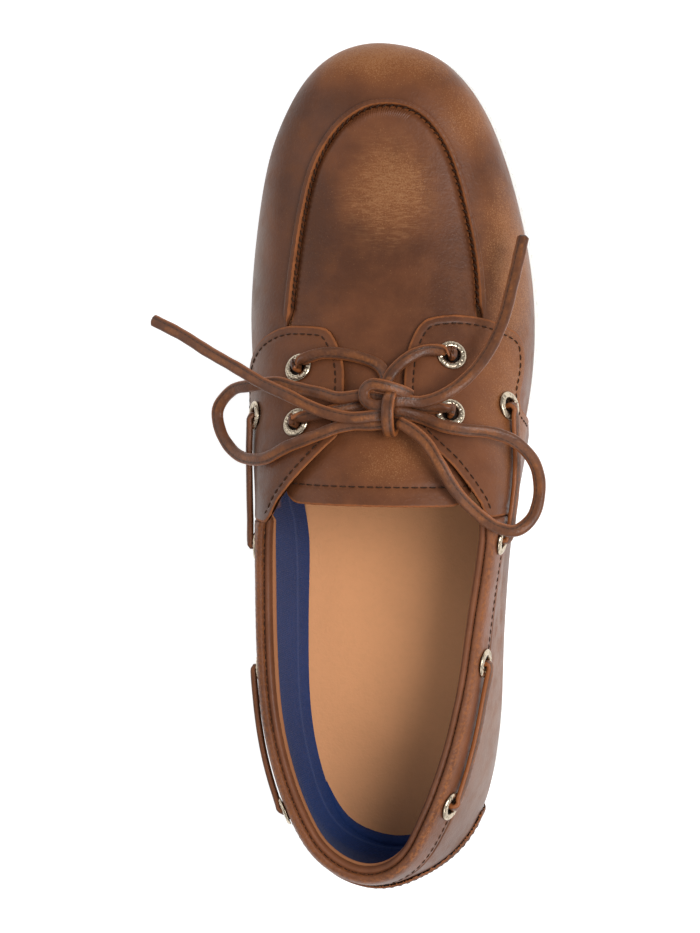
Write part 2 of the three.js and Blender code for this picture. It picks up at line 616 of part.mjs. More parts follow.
// The knot: two wraps round the crossing and the band over them.
function knot() {
  const wrap = (x, y, lean) => strand([[x - 5, y + lean, 5.6], [x - 4, y + lean, 8.2], [x, y, 10.4],
    [x + 4, y - lean, 8.4], [x + 5, y - lean, 5.8]].map(over), [[-1, 0, 0.2], [-1, 0, 0.8], UP, [1, 0, 0.8], [1, 0, 0.2]],
  LACE_WIDE, LACE_THICK, 8, 4);
  const path = [[-3, 20, 8.6], [2, 22, 9.6], [8, 24, 10.4], [15, 24, 9.8], [20, 22, 9]].map(over);
  const band = strand(path, path.map(() => UP), LACE_WIDE, LACE_THICK, 8, 4);
  return wrap(6, 27, 3).add(wrap(11, 21, 3)).add(band);
}

// Free parts of the lace: plan point and height.
const LOOSE = {
  lace_loop_inner: [[-6.5, 27.5, 81.5], [-13, 28.8, 79.5], [-23.4, 30.4, 76], [-30.5, 31.7, 73], [-40.8, 30.1, 68],
    [-49.6, 27.8, 62], [-56, 20.6, 58], [-54.3, 13.1, 60], [-46.4, 6.1, 67], [-35, 5.6, 76], [-23.5, 11, 83],
    [-12.5, 15.5, 86], [-6, 18.3, 86]],
  lace_loop_outer: [[22, 21.2, 80.3], [29, 18.8, 81], [36, 17.5, 80], [44.5, 16.4, 76], [52, 13.2, 72], [57.8, 6, 68],
    [59.4, -3, 66], [57.4, -12.4, 67], [52.4, -17.0, 70], [46.6, -15.5, 75], [40.5, -9.5, 82], [34.5, -2, 86],
    [29.5, 7, 88], [25, 13.5, 87]],
  lace_end_inner: [[-4.6, 21.6, 85.8], [-13, 24.2, 87.5], [-22, 28.2, 87], [-32.5, 32, 83], [-43.6, 37, 78], [-55.2, 41.9, 72],
    [-66.6, 47.2, 66], [-79, 51.9, 60]],
  lace_end_outer: [[21.2, 25.2, 80.4], [30, 29.5, 80], [36.8, 35, 76], [42.4, 43.5, 69], [45.8, 53.5, 62], [47.6, 64, 56.5],
    [49, 73.4, 52], [50.2, 81.6, 49]],
};

function loose(name) {
  const points = LOOSE[name].map(([x, y, z]) => [x, y, z]);
  return strand(points, points.map(() => UP), LACE_WIDE, LACE_THICK, 8, 10);
}

const COLOURS = {
  leather: [0x6b3f28, 0.55, 0],
  lining: [0x1f3162, 0.8, 0],
  insole: [0xc08a5e, 0.75, 0],
  rubber: [0xe6dfd0, 0.8, 0],
  brass: [0xb9a787, 0.35, 0.9],
  lace: [0x8a4d2a, 0.6, 0],
};

function meshOf(name, body, look) {
  const { numProp, vertProperties, triVerts } = body.getMesh();
  const geometry = new THREE.BufferGeometry();
  const flat = [];
  for (const k of triVerts) {
    flat.push(vertProperties[k * numProp], vertProperties[k * numProp + 1], vertProperties[k * numProp + 2]);
  }
  geometry.setAttribute('position', new THREE.Float32BufferAttribute(flat, 3));
  geometry.computeVertexNormals();
  const [color, roughness, metalness] = COLOURS[look];
  const mesh = new THREE.Mesh(geometry, new THREE.MeshStandardMaterial({ color, roughness, metalness }));
  mesh.name = name;
  return mesh;
}

const shoe = new THREE.Group();
shoe.name = 'boat_shoe';
const add = (name, body, look) => shoe.add(meshOf(name, body, look));

const holes = EYELETS.map(eyeletHole).reduce((sum, one) => sum.add(one));
add('outsole', outsole(), 'rubber');
add('upper', upper(), 'leather');
add('tongue', tongue(), 'leather');
add('insole', insole(), 'insole');
for (const side of SIDES) add(`quarter_${side}`, quarter(side).subtract(holes), 'leather');
add('collar_roll', collar().subtract(holes), 'leather');
add('heel_patch', heelPatch(), 'leather');
for (const e of EYELETS) add(e.name, eyelet(e), 'brass');
for (const run of SIDE_RUNS) add(run.name, sideRun(run), 'lace');
add('lace_crossing', crossing(), 'lace');
add('lace_knot', knot(), 'lace');
for (const name of Object.keys(LOOSE)) add(name, loose(name), 'lace');

export default shoe;
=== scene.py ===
"""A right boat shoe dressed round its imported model: leathers, lining, sole, eyelets and a rawhide lace."""
import math

import bpy
import numpy as np
from bpy.props import FloatProperty, FloatVectorProperty, PointerProperty
from mathutils import Matrix, Vector


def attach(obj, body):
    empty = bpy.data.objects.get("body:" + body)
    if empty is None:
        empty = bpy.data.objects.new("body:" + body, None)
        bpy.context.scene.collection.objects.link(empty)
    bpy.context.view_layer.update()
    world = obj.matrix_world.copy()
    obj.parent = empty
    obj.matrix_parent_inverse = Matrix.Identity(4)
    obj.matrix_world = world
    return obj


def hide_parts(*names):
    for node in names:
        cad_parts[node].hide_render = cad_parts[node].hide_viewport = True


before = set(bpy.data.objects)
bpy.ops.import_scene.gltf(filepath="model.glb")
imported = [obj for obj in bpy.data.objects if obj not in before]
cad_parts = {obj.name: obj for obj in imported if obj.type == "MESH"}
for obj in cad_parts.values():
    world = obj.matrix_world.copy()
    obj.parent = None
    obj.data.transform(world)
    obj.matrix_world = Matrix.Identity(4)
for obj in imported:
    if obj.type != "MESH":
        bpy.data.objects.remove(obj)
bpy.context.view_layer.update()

bl_info = {
    "name": "Boat shoe",
    "version": (1, 0, 0),
    "blender": (4, 5, 0),
    "location": "3D view, sidebar, Shoe",
    "description": "Builds the leathers, lining, sole, eyelets and lace of a boat shoe",
    "category": "Add Mesh",
}

# Sizes in millimetres, the same as the model's
LENGTH = 296.0
BALL_WIDTH = 102.0
INSTEP = 62.0
HEEL_HEIGHT = 80.0
WALL = 2.0
LEATHER = 1.6
GAP = 0.3
LAY = 0.68
QUARTER_FACE = LAY + LEATHER
FLANGE_FILL = 2.3
INSOLE = 2.5
CENTRE_X = 1.3
CENTRE_Y = 1.4
WELT = 3.6
PIT_RADIUS = 4.4
EDGE_ROUND = 2.3
FAR = 9.0
TONGUE_END = 7.12
SEAM = 0.041
COLLAR_END = {"outer": 6.9, "inner": 6.75}

SECTION_COLUMNS = ("station", "inner", "outer", "bulge_in", "bulge_out", "crest", "tuck", "spine",
                   "full_side", "full_top", "lean_in", "lean_out", "edge_in", "edge_out")
SECTIONS = np.array([
    (0.000, 0.000, 0.000, 0.237, 0.237, 1.431, 5.0, 0.140, 2.5, 2.3, 0.08, 0.08, 0.330, 0.330),
    (0.022, 0.211, 0.176, 0.255, 0.239, 1.432, 5.0, 0.140, 2.5, 2.3, 0.30, 0.16, 0.330, 0.330),
    (0.065, 0.294, 0.275, 0.307, 0.242, 1.420, 5.0, 0.145, 2.4, 2.3, 0.33, 0.32, 0.330, 0.330),
    (0.120, 0.345, 0.331, 0.378, 0.249, 1.378, 5.0, 0.160, 2.3, 2.3, 0.20, 0.28, 0.330, 0.330),
    (0.200, 0.387, 0.356, 0.455, 0.261, 1.342, 6.0, 0.210, 2.3, 2.3, 0.06, 0.08, 0.330, 0.330),
    (0.290, 0.393, 0.363, 0.508, 0.315, 1.331, 7.0, 0.290, 2.3, 2.3, -0.05, -0.12, 0.330, 0.330),
    (0.380, 0.394, 0.370, 0.533, 0.372, 1.340, 7.0, 0.380, 2.4, 2.3, -0.07, -0.33, 0.360, 0.360),
    (0.460, 0.415, 0.397, 0.449, 0.353, 1.288, 6.5, 0.460, 2.4, 2.2, -0.04, -0.50, 0.500, 0.440),
    (0.530, 0.463, 0.429, 0.330, 0.265, 1.168, 5.5, 0.530, 2.4, 2.1, 0.00, -0.30, 0.600, 0.500),
    (0.600, 0.509, 0.461, 0.229, 0.197, 0.987, 5.0, 0.600, 2.4, 2.0, 0.00, -0.08, 0.620, 0.500),
    (0.670, 0.536, 0.465, 0.188, 0.172, 0.817, 4.5, 0.670, 2.4, 2.0, 0.00, 0.00, 0.625, 0.487),
    (0.740, 0.528, 0.445, 0.169, 0.169, 0.685, 4.5, 0.735, 2.4, 2.0, 0.00, 0.00, 0.629, 0.490),
    (0.810, 0.501, 0.401, 0.168, 0.168, 0.587, 4.5, 0.795, 2.4, 2.1, 0.00, 0.00, 0.643, 0.522),
    (0.870, 0.464, 0.349, 0.157, 0.157, 0.528, 4.5, 0.835, 2.4, 2.2, 0.00, 0.00, 0.670, 0.537),
    (0.920, 0.397, 0.290, 0.156, 0.156, 0.479, 4.5, 0.855, 2.4, 2.2, 0.00, 0.00, 0.715, 0.585),
    (0.960, 0.322, 0.206, 0.140, 0.140, 0.446, 4.5, 0.862, 2.4, 2.2, 0.00, 0.00, 0.745, 0.637),
    (0.988, 0.217, 0.102, 0.129, 0.129, 0.419, 4.5, 0.865, 2.4, 2.2, 0.00, 0.00, 0.758, 0.700),
    (1.000, 0.079, -0.079, 0.116, 0.116, 0.406, 4.5, 0.866, 2.4, 2.2, 0.00, 0.00, 0.738, 0.738),
])
TURN = 2 * len(SECTIONS) - 2
FOOTBED = ((0, 21), (0.15, 20), (0.3, 18), (0.42, 13), (0.55, 10), (0.7, 9), (0.82, 10.5), (0.92, 14),
           (1, 18.5))
TREAD = ((0, 1.2), (0.035, 0), (0.3, 0), (0.317, 3.2), (0.46, 2.2), (0.52, 0), (0.77, 0), (0.86, 1.8),
         (0.93, 5), (1, 10))
TOPLINE = ((0, 1), (0.05, 0.988), (0.12, 0.944), (0.2, 0.894), (0.28, 0.863), (0.36, 0.863), (0.42, 0.888),
           (0.47, 0.938))
CREST = ((0.14, 0), (0.4, 0), (0.6, -1.5), (0.72, -3), (0.866, -4.5))


# Curves and the last

def cubic(table, x):
    """Monotone cubic through the rows of a two-column table; inner slopes are harmonic means."""
    px, py = np.asarray(table, float).T
    x = np.clip(np.asarray(x, float), px[0], px[-1])
    slope = np.diff(py) / np.diff(px)
    p, q = slope[:-1], slope[1:]
    total = np.where(np.abs(p + q) < 1e-12, 1.0, p + q)
    tangent = np.concatenate([slope[:1], np.where(p * q <= 0, 0.0, 2 * p * q / total), slope[-1:]])
    i = np.clip(np.searchsorted(px, x, side="right") - 1, 0, len(px) - 2)
    h = px[i + 1] - px[i]
    f = (x - px[i]) / h
    return ((2 * f**3 - 3 * f**2 + 1) * py[i] + (f**3 - 2 * f**2 + f) * h * tangent[i]
            + (3 * f**2 - 2 * f**3) * py[i + 1] + (f**3 - f**2) * h * tangent[i + 1])


def ease(x):
    """Smooth step: 3x squared less 2x cubed, between 0 and 1."""
    f = np.clip(x, 0.0, 1.0)
    return f * f * (3 - 2 * f)


def mix(p, q, f):
    """Straight blend from p to q."""
    return p + (q - p) * f


def unit(v):
    """Vectors of length one."""
    return v / np.maximum(np.linalg.norm(v, axis=-1, keepdims=True), 1e-12)


def ring_table():
    """The section rows as one closed ring: heel, outer side, toe, inner side."""
    c = dict(zip(SECTION_COLUMNS, SECTIONS.T))
    bed = cubic(FOOTBED, c["station"]) + GAP
    both = {
        "x": (c["outer"] * BALL_WIDTH, -c["inner"] * BALL_WIDTH),
        "y": ((c["station"] - 0.5) * LENGTH,) * 2,
        "bulge": (bed + c["bulge_out"] * INSTEP, bed + c["bulge_in"] * INSTEP),
        "crest": (bed + c["crest"] * INSTEP,) * 2,
        "tuck": (c["tuck"],) * 2,
        "spine": (c["spine"],) * 2,
        "full_side": (c["full_side"],) * 2,
        "full_top": (c["full_top"],) * 2,
        "lean": (c["lean_out"], c["lean_in"]),
        "edge": (c["edge_out"], c["edge_in"]),
    }
    return {key: np.concatenate([outer, inner[-2:0:-1]]) for key, (outer, inner) in both.items()}


RING = ring_table()


def ring(a):
    """Closed uniform cubic B-spline over the ring's rows, read at place a."""
    a = np.asarray(a, float)
    i = np.floor(a).astype(int)
    f = a - i
    weights = ((1 - f)**3 / 6, (3 * f**3 - 6 * f**2 + 4) / 6,
               (-3 * f**3 + 3 * f**2 + 3 * f + 1) / 6, f**3 / 6)
    c = {key: sum(w * row[(i + k - 1) % TURN] for k, w in enumerate(weights)) for key, row in RING.items()}
    c["qx"] = cubic(CREST, c["spine"])
    c["qy"] = (c["spine"] - 0.5) * LENGTH
    dx, dy = c["x"] - c["qx"], c["y"] - c["qy"]
    c["station"] = c["y"] / LENGTH + 0.5
    c["reach"] = np.hypot(dx, dy)
    c["ux"], c["uy"] = dx / c["reach"], dy / c["reach"]
    c["bed"] = cubic(FOOTBED, (c["y"] - c["uy"] * c["tuck"]) / LENGTH + 0.5) + GAP
    return c


def profile(c, t):
    """Reach and height of the wall at t: a tuck under the foot below 0, a superellipse to the crest above."""
    turn = np.clip(t, -1, 1) * np.pi / 2
    cos, sin = np.maximum(np.cos(turn), 0), np.sin(turn)
    rise = np.maximum(sin, 0)
    low = (c["reach"] - c["tuck"] * (1 - cos**0.45), c["bulge"] + (c["bulge"] - c["bed"]) * sin)
    high = (c["reach"] * (1 - c["lean"] * rise) * cos**(2 / c["full_side"]),
            c["bulge"] + (c["crest"] - c["bulge"]) * rise**(2 / c["full_top"]))
    return np.where(t < 0, low[0], high[0]), np.where(t < 0, low[1], high[1])


def last(a, t, offset=0.0):
    """Point of the last at place a and height t, moved out along the normal of its profile."""
    a, t, offset = np.broadcast_arrays(np.asarray(a, float), np.asarray(t, float), np.asarray(offset, float))
    c = ring(a)
    r, z = profile(c, t)
    r0, z0 = profile(c, np.maximum(t - 0.004, -1))
    r1, z1 = profile(c, np.minimum(t + 0.004, 1))
    long = np.maximum(np.hypot(r1 - r0, z1 - z0), 1e-9)
    flat = t > 0.999
    reach = r + offset * np.where(flat, 0.0, (z1 - z0) / long)
    up = np.where(flat, 1.0, (r0 - r1) / long)
    x, y = c["qx"] + c["ux"] * reach + CENTRE_X, c["qy"] + c["uy"] * reach + CENTRE_Y
    return np.stack([x, y, z + offset * up], -1)


def from_heel(a):
    """Place counted from the heel on whichever side is nearer."""
    a = np.mod(a, TURN)
    return np.minimum(a, TURN - a)


def on_side(side, a):
    """Ring place of a place counted from the heel along one side."""
    return np.asarray(a, float) if side == "outer" else TURN - np.asarray(a, float)


def bisect(lo, hi, rounds, short):
    """Narrows lo and hi, by halves, to where short(x) turns false."""
    for _ in range(rounds):
        mid = (lo + hi) / 2
        low = short(mid)
        lo, hi = np.where(low, mid, lo), np.where(low, hi, mid)
    return lo, hi


def level_t(a, z):
    """Height t at which the wall reaches z."""
    c = ring(a)
    one = np.ones_like(c["x"])
    lo, hi = bisect(-one, one, 32, lambda t: profile(c, t)[1] < z)
    return (lo + hi) / 2


def top_height(a):
    """Height of the collar's edge."""
    return HEEL_HEIGHT * cubic(TOPLINE, ring(a)["station"])


def drop_t(a, drop):
    """Height t that lies drop millimetres below the collar's edge."""
    return level_t(a, top_height(a) - drop)


def edge_t(a):
    """Upper edge of the wall: below the collar at the back, the seam line beside the plug in front."""
    place = from_heel(a)
    drop = mix(7.0, 1.6, ease((place - 6.58) / 0.2))
    return mix(drop_t(a, drop), ring(a)["edge"], ease((place - 6.98) / 0.9))


def floor_t(a, offset):
    """Height t at which a leather at that offset ends just above the sole."""
    stop = ring(a)["bed"] + 0.5
    low, high = -np.ones_like(stop), np.zeros_like(stop)
    return bisect(low, high, 24, lambda t: last(a, t, offset)[..., 2] < stop)[1]


def normal_at(a, t, offset=0.0, da=0.06, dt=0.02):
    """Outward unit normal of the last: the cross product of its tangents over da and dt."""
    along = last(a + da, t, offset) - last(a - da, t, offset)
    up = last(a, t + dt, offset) - last(a, t - dt, offset)
    return unit(np.cross(along, up))


# Meshes

def quads_of(nu, nv, wrap_u=False, wrap_v=False):
    """Corner numbers of the squares of a grid that may close on itself either way."""
    i = np.arange(nu if wrap_u else nu - 1)
    j = np.arange(nv if wrap_v else nv - 1)
    i, j = np.meshgrid(i, j, indexing="ij")
    i1, j1 = (i + 1) % nu, (j + 1) % nv
    return np.stack([i * nv + j, i1 * nv + j, i1 * nv + j1, i * nv + j1], -1).reshape(-1, 4)


def signed_volume(points, quads):
    """Volume inside the squares, each taken as two triangles."""
    p = [points[quads[:, k]] for k in range(4)]
    one = np.einsum("ij,ij->i", p[0], np.cross(p[1], p[2]))
    two = np.einsum("ij,ij->i", p[0], np.cross(p[2], p[3]))
    return float((one + two).sum())


def build(name, points, quads, values=None):
    """Welds equal points, drops collapsed faces, turns the body outward and makes it an object in metres."""
    points = np.asarray(points, float).reshape(-1, 3)
    key = np.round(points * 4e3).astype(np.int64)
    _, first, where = np.unique(key, axis=0, return_index=True, return_inverse=True)
    faces = where.reshape(-1)[quads]
    points = points[first]
    if signed_volume(points, faces) < 0:
        faces = faces[:, ::-1]
    same = faces == np.roll(faces, -1, axis=1)
    cross = (faces[:, 0] == faces[:, 2]) | (faces[:, 1] == faces[:, 3])
    whole = faces[(same.sum(1) == 0) & ~cross]
    three = faces[(same.sum(1) == 1) & ~cross]
    gone = same[(same.sum(1) == 1) & ~cross]
    three = three[~gone].reshape(-1, 3)
    corners = np.concatenate([whole.reshape(-1), three.reshape(-1)]).astype(np.int32)
    starts = np.concatenate([np.arange(len(whole)) * 4, len(whole) * 4 + np.arange(len(three)) * 3])
    mesh = bpy.data.meshes.new(name)
    mesh.vertices.add(len(points))
    mesh.vertices.foreach_set("co", (points * 0.001).astype(np.float32).reshape(-1))
    mesh.loops.add(len(corners))
    mesh.loops.foreach_set("vertex_index", corners)
    mesh.polygons.add(len(starts))
    mesh.polygons.foreach_set("loop_start", starts.astype(np.int32))
    mesh.update(calc_edges=True)
    mesh.validate()
    mesh.polygons.foreach_set("use_smooth", np.full(len(mesh.polygons), True))
    for label, value in (values or {}).items():
        store = mesh.attributes.new(label, "FLOAT", "POINT")
        store.data.foreach_set("value", np.asarray(value, np.float32).reshape(-1)[first])
    piece = bpy.data.objects.new(name, mesh)
    bpy.context.scene.collection.objects.link(piece)
    return piece


def finish(piece, material, slot, *nodes):
    """Gives a piece its material and its body, and hides the model's nodes it stands for; slot is not used.
    """
    piece.data.materials.clear()
    piece.data.materials.append(material)
    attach(piece, "root")
    if nodes:
        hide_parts(*nodes)
    return piece


def joined(grids):
    """Several (points, quads) bodies as one array of points and one of quads."""
    points, quads, start = [], [], 0
    for p, q in grids:
        p = p.reshape(-1, 3)
        points.append(p)
        quads.append(q + start)
        start += len(p)
    return np.concatenate(points), np.concatenate(quads)


def border_distance(points, border):
    """Distance of each point from the nearest of the border's points, which are first spaced out evenly."""
    fine = np.concatenate([resample(line, max(8, int(path_length(line) / 0.35))) for line in border])
    flat = points.reshape(-1, 3)
    out = np.empty(len(flat))
    for start in range(0, len(flat), 1500):
        part = flat[start:start + 1500]
        out[start:start + 1500] = np.sqrt(((part[:, None] - fine[None])**2).sum(-1).min(1))
    return out.reshape(points.shape[:-1])


def path_length(points):
    """Length of a line through points."""
    return float(np.linalg.norm(np.diff(points, axis=0), axis=1).sum())


def travelled(points):
    """Length travelled along a line at each of its points."""
    return np.concatenate([[0], np.cumsum(np.linalg.norm(np.diff(points, axis=0), axis=1))])


def read_at(at, run, values):
    """Rows of values along a line, read at the lengths at; run is the line's travelled length."""
    return np.stack([np.interp(at, run, column) for column in np.asarray(values, float).T], -1)


def resample(points, count):
    """Points at even steps along a line."""
    run = travelled(points)
    return read_at(np.linspace(0, run[-1], count), run, points)


def catmull(points, step):
    """Centripetal Catmull-Rom curve through the points, then evenly spaced by step."""
    p = np.asarray(points, float)
    p = np.concatenate([[2 * p[0] - p[1]], p, [2 * p[-1] - p[-2]]])
    t = np.concatenate([[0], np.cumsum(np.sqrt(np.linalg.norm(np.diff(p, axis=0), axis=1)))])

    def between(low, high, i, j, u):
        return ((t[j] - u) * low + (u - t[i]) * high) / (t[j] - t[i])

    out = []
    for i in range(1, len(p) - 2):
        u = np.linspace(t[i], t[i + 1], 40, endpoint=False)[:, None]
        a = [between(p[k - 1], p[k], k - 1, k, u) for k in (i, i + 1, i + 2)]
        b = [between(a[k], a[k + 1], i - 1 + k, i + 1 + k, u) for k in (0, 1)]
        out.append(between(b[0], b[1], i, i + 1, u))
    line = np.concatenate(out + [p[-2:-1]])
    return resample(line, max(8, int(path_length(line) / step)))


def tubes(centres, side, up, radius, around=7):
    """Closed round tubes: ring m of tube k lies about centres[k, m] in the plane of side and up."""
    phi = np.linspace(0, 2 * np.pi, around, endpoint=False)
    size = radius[:, :, None, None]
    grid = (centres[:, :, None] + side[:, :, None] * (size * np.cos(phi)[:, None])
            + up[:, :, None] * (size * np.sin(phi)[:, None]))
    caps = [np.repeat(grid[:, [i]].mean(2, keepdims=True), around, 2) for i in (0, -1)]
    grid = np.concatenate([caps[0], grid, caps[1]], 1)
    k, m = grid.shape[:2]
    one = quads_of(m, around, wrap_v=True)
    quads = (one[None] + (np.arange(k) * m * around)[:, None, None]).reshape(-1, 4)
    return grid.reshape(-1, 3), quads


EDGE_MARKS = np.array([0, 0.1, 0.25, 0.45, 0.7, 1.0, 1.4, 2.0, 2.6, 3.0, 3.4, 4.0])


def edge_steps(length, count):
    """Shares of a length: EDGE_MARKS millimetres from both ends, and count even steps between."""
    squeeze = np.minimum(1.0, 0.42 * length / EDGE_MARKS[-1])[:, None]
    start = EDGE_MARKS * squeeze / np.maximum(length, 1e-6)[:, None]
    middle = np.linspace(0, 1, count + 2)[1:-1]
    inside = start[:, -1:] + (1 - 2 * start[:, -1:]) * middle
    return np.concatenate([start, inside, 1 - start[:, ::-1]], 1)


def pits_in(points, centres):
    """1 at the points inside an eyelet's pit, easing to 0 at its rim."""
    pit = np.zeros(points.shape[:-1])
    for centre in centres:
        pit = np.maximum(pit, ease((PIT_RADIUS - np.linalg.norm(points - centre, axis=-1)) / 1.5))
    return pit


def shell(name, top, low, wrap, values):
    """A body between two grids that meet at their borders."""
    squares = quads_of(*top.shape[:2], wrap)
    points = np.concatenate([top.reshape(-1, 3), low.reshape(-1, 3)])
    quads = np.concatenate([squares, squares[:, ::-1] + len(points) // 2])
    return build(name, points, quads, {key: np.tile(value.reshape(-1), 2) for key, value in values.items()})


def slab(name, a, t, base, thick, corner, relief, pits=(), closed_end=False, covered=0.0, seated=False):
    """Leather on the last: half thickness = thick / 2 (1 - (1 - distance / corner)^n)^(1 / n) at borders.

    Its middle lies at base + thick / 2, or so that it rests on base when seated. The value edge is the
    distance from the border, 9 more where the edge is covered; pit is 1 under an eyelet.
    """
    mid = last(a, t, base + thick / 2)
    borders = [mid[:, 0], mid[:, -1], mid[0]] + ([] if closed_end else [mid[-1]])
    distance = border_distance(mid, borders)
    half = thick / 2 * (1 - (1 - np.clip(distance / corner, 0, 1))**EDGE_ROUND)**(1 / EDGE_ROUND)
    lift = relief(a, t, distance, mid)
    pit = pits_in(mid, pits)
    middle = base + (half if seated else thick / 2)
    top = last(a, t, middle + half + lift - pit * (thick - 0.35))
    low = last(a, t, middle - half + lift * (1 - ease(distance)))
    return shell(name, top, low, False, {"edge": distance + FAR * covered, "pit": pit})


def ladder(rungs, fine):
    """Places and heights of a low and a high edge, from rungs (place and t low, place and t high)."""
    rungs = np.asarray(rungs, float)
    at = np.arange(len(rungs), dtype=float)
    even = np.linspace(0, len(rungs) - 1, (len(rungs) - 1) * fine + 1)
    s = np.unique(np.concatenate([even, np.linspace(0, 1, 17)**2]))
    return [cubic(np.stack([at, column], -1), s) for column in rungs.T]


def fill_ladder(edges, side, offset):
    """Fills a ladder's rungs with points that stand close together at both edges."""
    low_a, low_t, high_a, high_t = edges
    low_t = np.maximum(low_t, floor_t(on_side(side, low_a), offset))

    def across(f):
        return on_side(side, mix(low_a[:, None], high_a[:, None], f)), mix(low_t[:, None], high_t[:, None], f)

    f = np.linspace(0, 1, 40)
    run = np.stack([travelled(rung) for rung in last(*across(f), offset)])
    share = edge_steps(run[:, -1], 22)
    return across(np.stack([np.interp(part * line[-1], line, f) for part, line in zip(share, run)]))


def inset(a, t, distance):
    """A path on the last moved sideways by a distance, brought back to the surface by Newton steps."""
    p = last(a, t)
    along = unit(np.gradient(p, axis=0))
    target = p + unit(np.cross(normal_at(a, t), along)) * distance
    for _ in range(4):
        here = last(a, t)
        ja = (last(a + 0.01, t) - here) / 0.01
        jt = (last(a, t + 0.002) - here) / 0.002
        miss = target - here
        aa, at, tt = (ja * ja).sum(-1), (ja * jt).sum(-1), (jt * jt).sum(-1)
        ra, rt = (ja * miss).sum(-1), (jt * miss).sum(-1)
        det = np.maximum(aa * tt - at * at, 1e-9)
        a = a + np.clip((tt * ra - at * rt) / det, -0.3, 0.3)
        t = t + np.clip((aa * rt - at * ra) / det, -0.05, 0.05)
    return a, t


def stitch_places(total, length, pitch):
    """Lengths along a seam at which each stitch is drawn, and their shares of the stitch from -0.5 to 0.5."""
    count = max(2, int(total / pitch))
    x = np.linspace(-0.5, 0.5, 7)
    return (np.arange(count)[:, None] + 0.5) * total / count + x * length, x


def stitches(a, t, offset, length, gap, radius, slant=0.0, arch=0.16):
    """A row of thread: each stitch is a tube whose ends dip into the leather, its middle arched over it."""
    line = last(a, t, offset)
    run = travelled(line)
    at, x = stitch_places(path_length(line), length, length + gap)
    place, level = np.interp(at, run, a), np.interp(at, run, t)
    height = offset + radius * 0.35 + arch - (np.abs(2 * x)**3) * (radius * 1.2 + arch)
    centre = last(place, level, height)
    along = unit(np.gradient(centre, axis=1))
    side = unit(np.cross(normal_at(place, level, offset), along))
    centre = centre + side * (x * slant)[:, None]
    size = np.tile(radius * (1 - 0.45 * np.abs(2 * x)**4), (len(at), 1))
    return tubes(centre, side, unit(np.cross(along, side)), size)


# Places of the pieces on the last

EDGE_OUTER = (
    (10.15, 0.655, 10.15, 0.67), (10.125, 0.585, 10.135, 0.735), (10.06, 0.489, 10.08, 0.79),
    (9.94, 0.39, 9.98, 0.82), (9.8, 0.29, 9.83, 0.842), (9.58, 0.232, 9.6, 0.862),
    (9.32, 0.222, 9.35, 0.871), (9.05, 0.235, 9.05, 0.874), (8.78, 0.262, 8.8, 0.873),
    (8.6, 0.25, 8.6, 0.863), (8.42, 0.15, 8.42, 0.845), (8.2, -0.1, 8.25, 0.81), (8.0, -0.38, 8.02, 0.75),
    (7.78, -0.72, 7.8, 0.69), (7.5, -0.93, 7.5, 0.62), (7.2, -0.93, 7.2, 0.545), (6.94, -0.93, 6.94, 0.462))
EDGE_INNER = (
    (9.945, 0.76, 9.945, 0.775), (9.94, 0.70, 9.935, 0.83), (9.9, 0.635, 9.9, 0.863),
    (9.83, 0.575, 9.82, 0.884), (9.72, 0.505, 9.7, 0.903), (9.58, 0.44, 9.55, 0.92),
    (9.4, 0.375, 9.4, 0.933), (9.15, 0.31, 9.15, 0.943), (8.9, 0.275, 8.9, 0.9455),
    (8.65, 0.25, 8.65, 0.9455), (8.45, 0.15, 8.45, 0.944), (8.22, -0.1, 8.25, 0.937),
    (8.0, -0.38, 8.02, 0.885), (7.78, -0.72, 7.8, 0.825), (7.5, -0.93, 7.5, 0.735), (7.2, -0.93, 7.2, 0.64),
    (6.79, -0.93, 6.79, 0.49))
COLLAR_BAND = 13.6
IN_COLLAR = ("side2", "side3", "side4")
EYELETS = (
    ("eyelet_front_outer", "outer", 9.49, 0.681, None), ("eyelet_front_inner", "inner", 9.26, 0.746, None),
    ("eyelet_rear_outer", "outer", 8.58, 0.692, None), ("eyelet_rear_inner", "inner", 8.39, 0.746, None),
    ("eyelet_side1_outer", "outer", 8.64, 0.371, None), ("eyelet_side1_inner", "inner", 8.42, 0.398, None),
    ("eyelet_side2_outer", "outer", 6.55, None, 7.5), ("eyelet_side2_inner", "inner", 6.35, None, 7.5),
    ("eyelet_side3_outer", "outer", 4.87, None, 7.5), ("eyelet_side3_inner", "inner", 4.7, None, 7.5),
    ("eyelet_side4_outer", "outer", 2.75, None, 7.8), ("eyelet_side4_inner", "inner", 2.5, None, 7.8))


def seats():
    """Side, place, height, centre and outward normal of every eyelet, by name."""
    out = {}
    for name, side, place, t, drop in EYELETS:
        a = on_side(side, place)
        t = float(drop_t(a, drop)) if t is None else t
        out[name] = {"side": side, "place": place, "t": t, "centre": last(a, t, QUARTER_FACE),
                     "normal": normal_at(a, t, QUARTER_FACE, 0.15, 0.03)}
    return out


SEATS = seats()


def rim_share(a):
    """How far the raised seam rim has come out from under the eyestays."""
    start = np.where(np.mod(a, TURN) < TURN / 2, 10.12, 9.93)
    return ease((from_heel(a) - start) / 0.22)


VAMP_FACE = (-1, -0.97, -0.93, -0.88, -0.82, -0.75, -0.66, -0.56, -0.45, -0.33, -0.2, -0.08)
VAMP_RIM = (
    (-0.010, 0.0, 4.0), (-0.004, 0.05, 2.6), (-0.001, 0.35, 1.6), (0, 0.85, 1.0), (0.002, 1.2, 0.78),
    (0.006, 1.38, 0.9), (0.012, 1.42, 1.5), (0.020, 1.42, 1.6), (0.026, 1.38, 0.85), (0.030, 1.2, 0.3),
    (0.033, 0.85, 0.1), (0.035, 0.1, 0.9), (0.037, -0.8, 3), (0.039, -1.5, 4))
VAMP_BACK = (-0.15, -0.4, -0.65, -0.82, -0.93, -1)


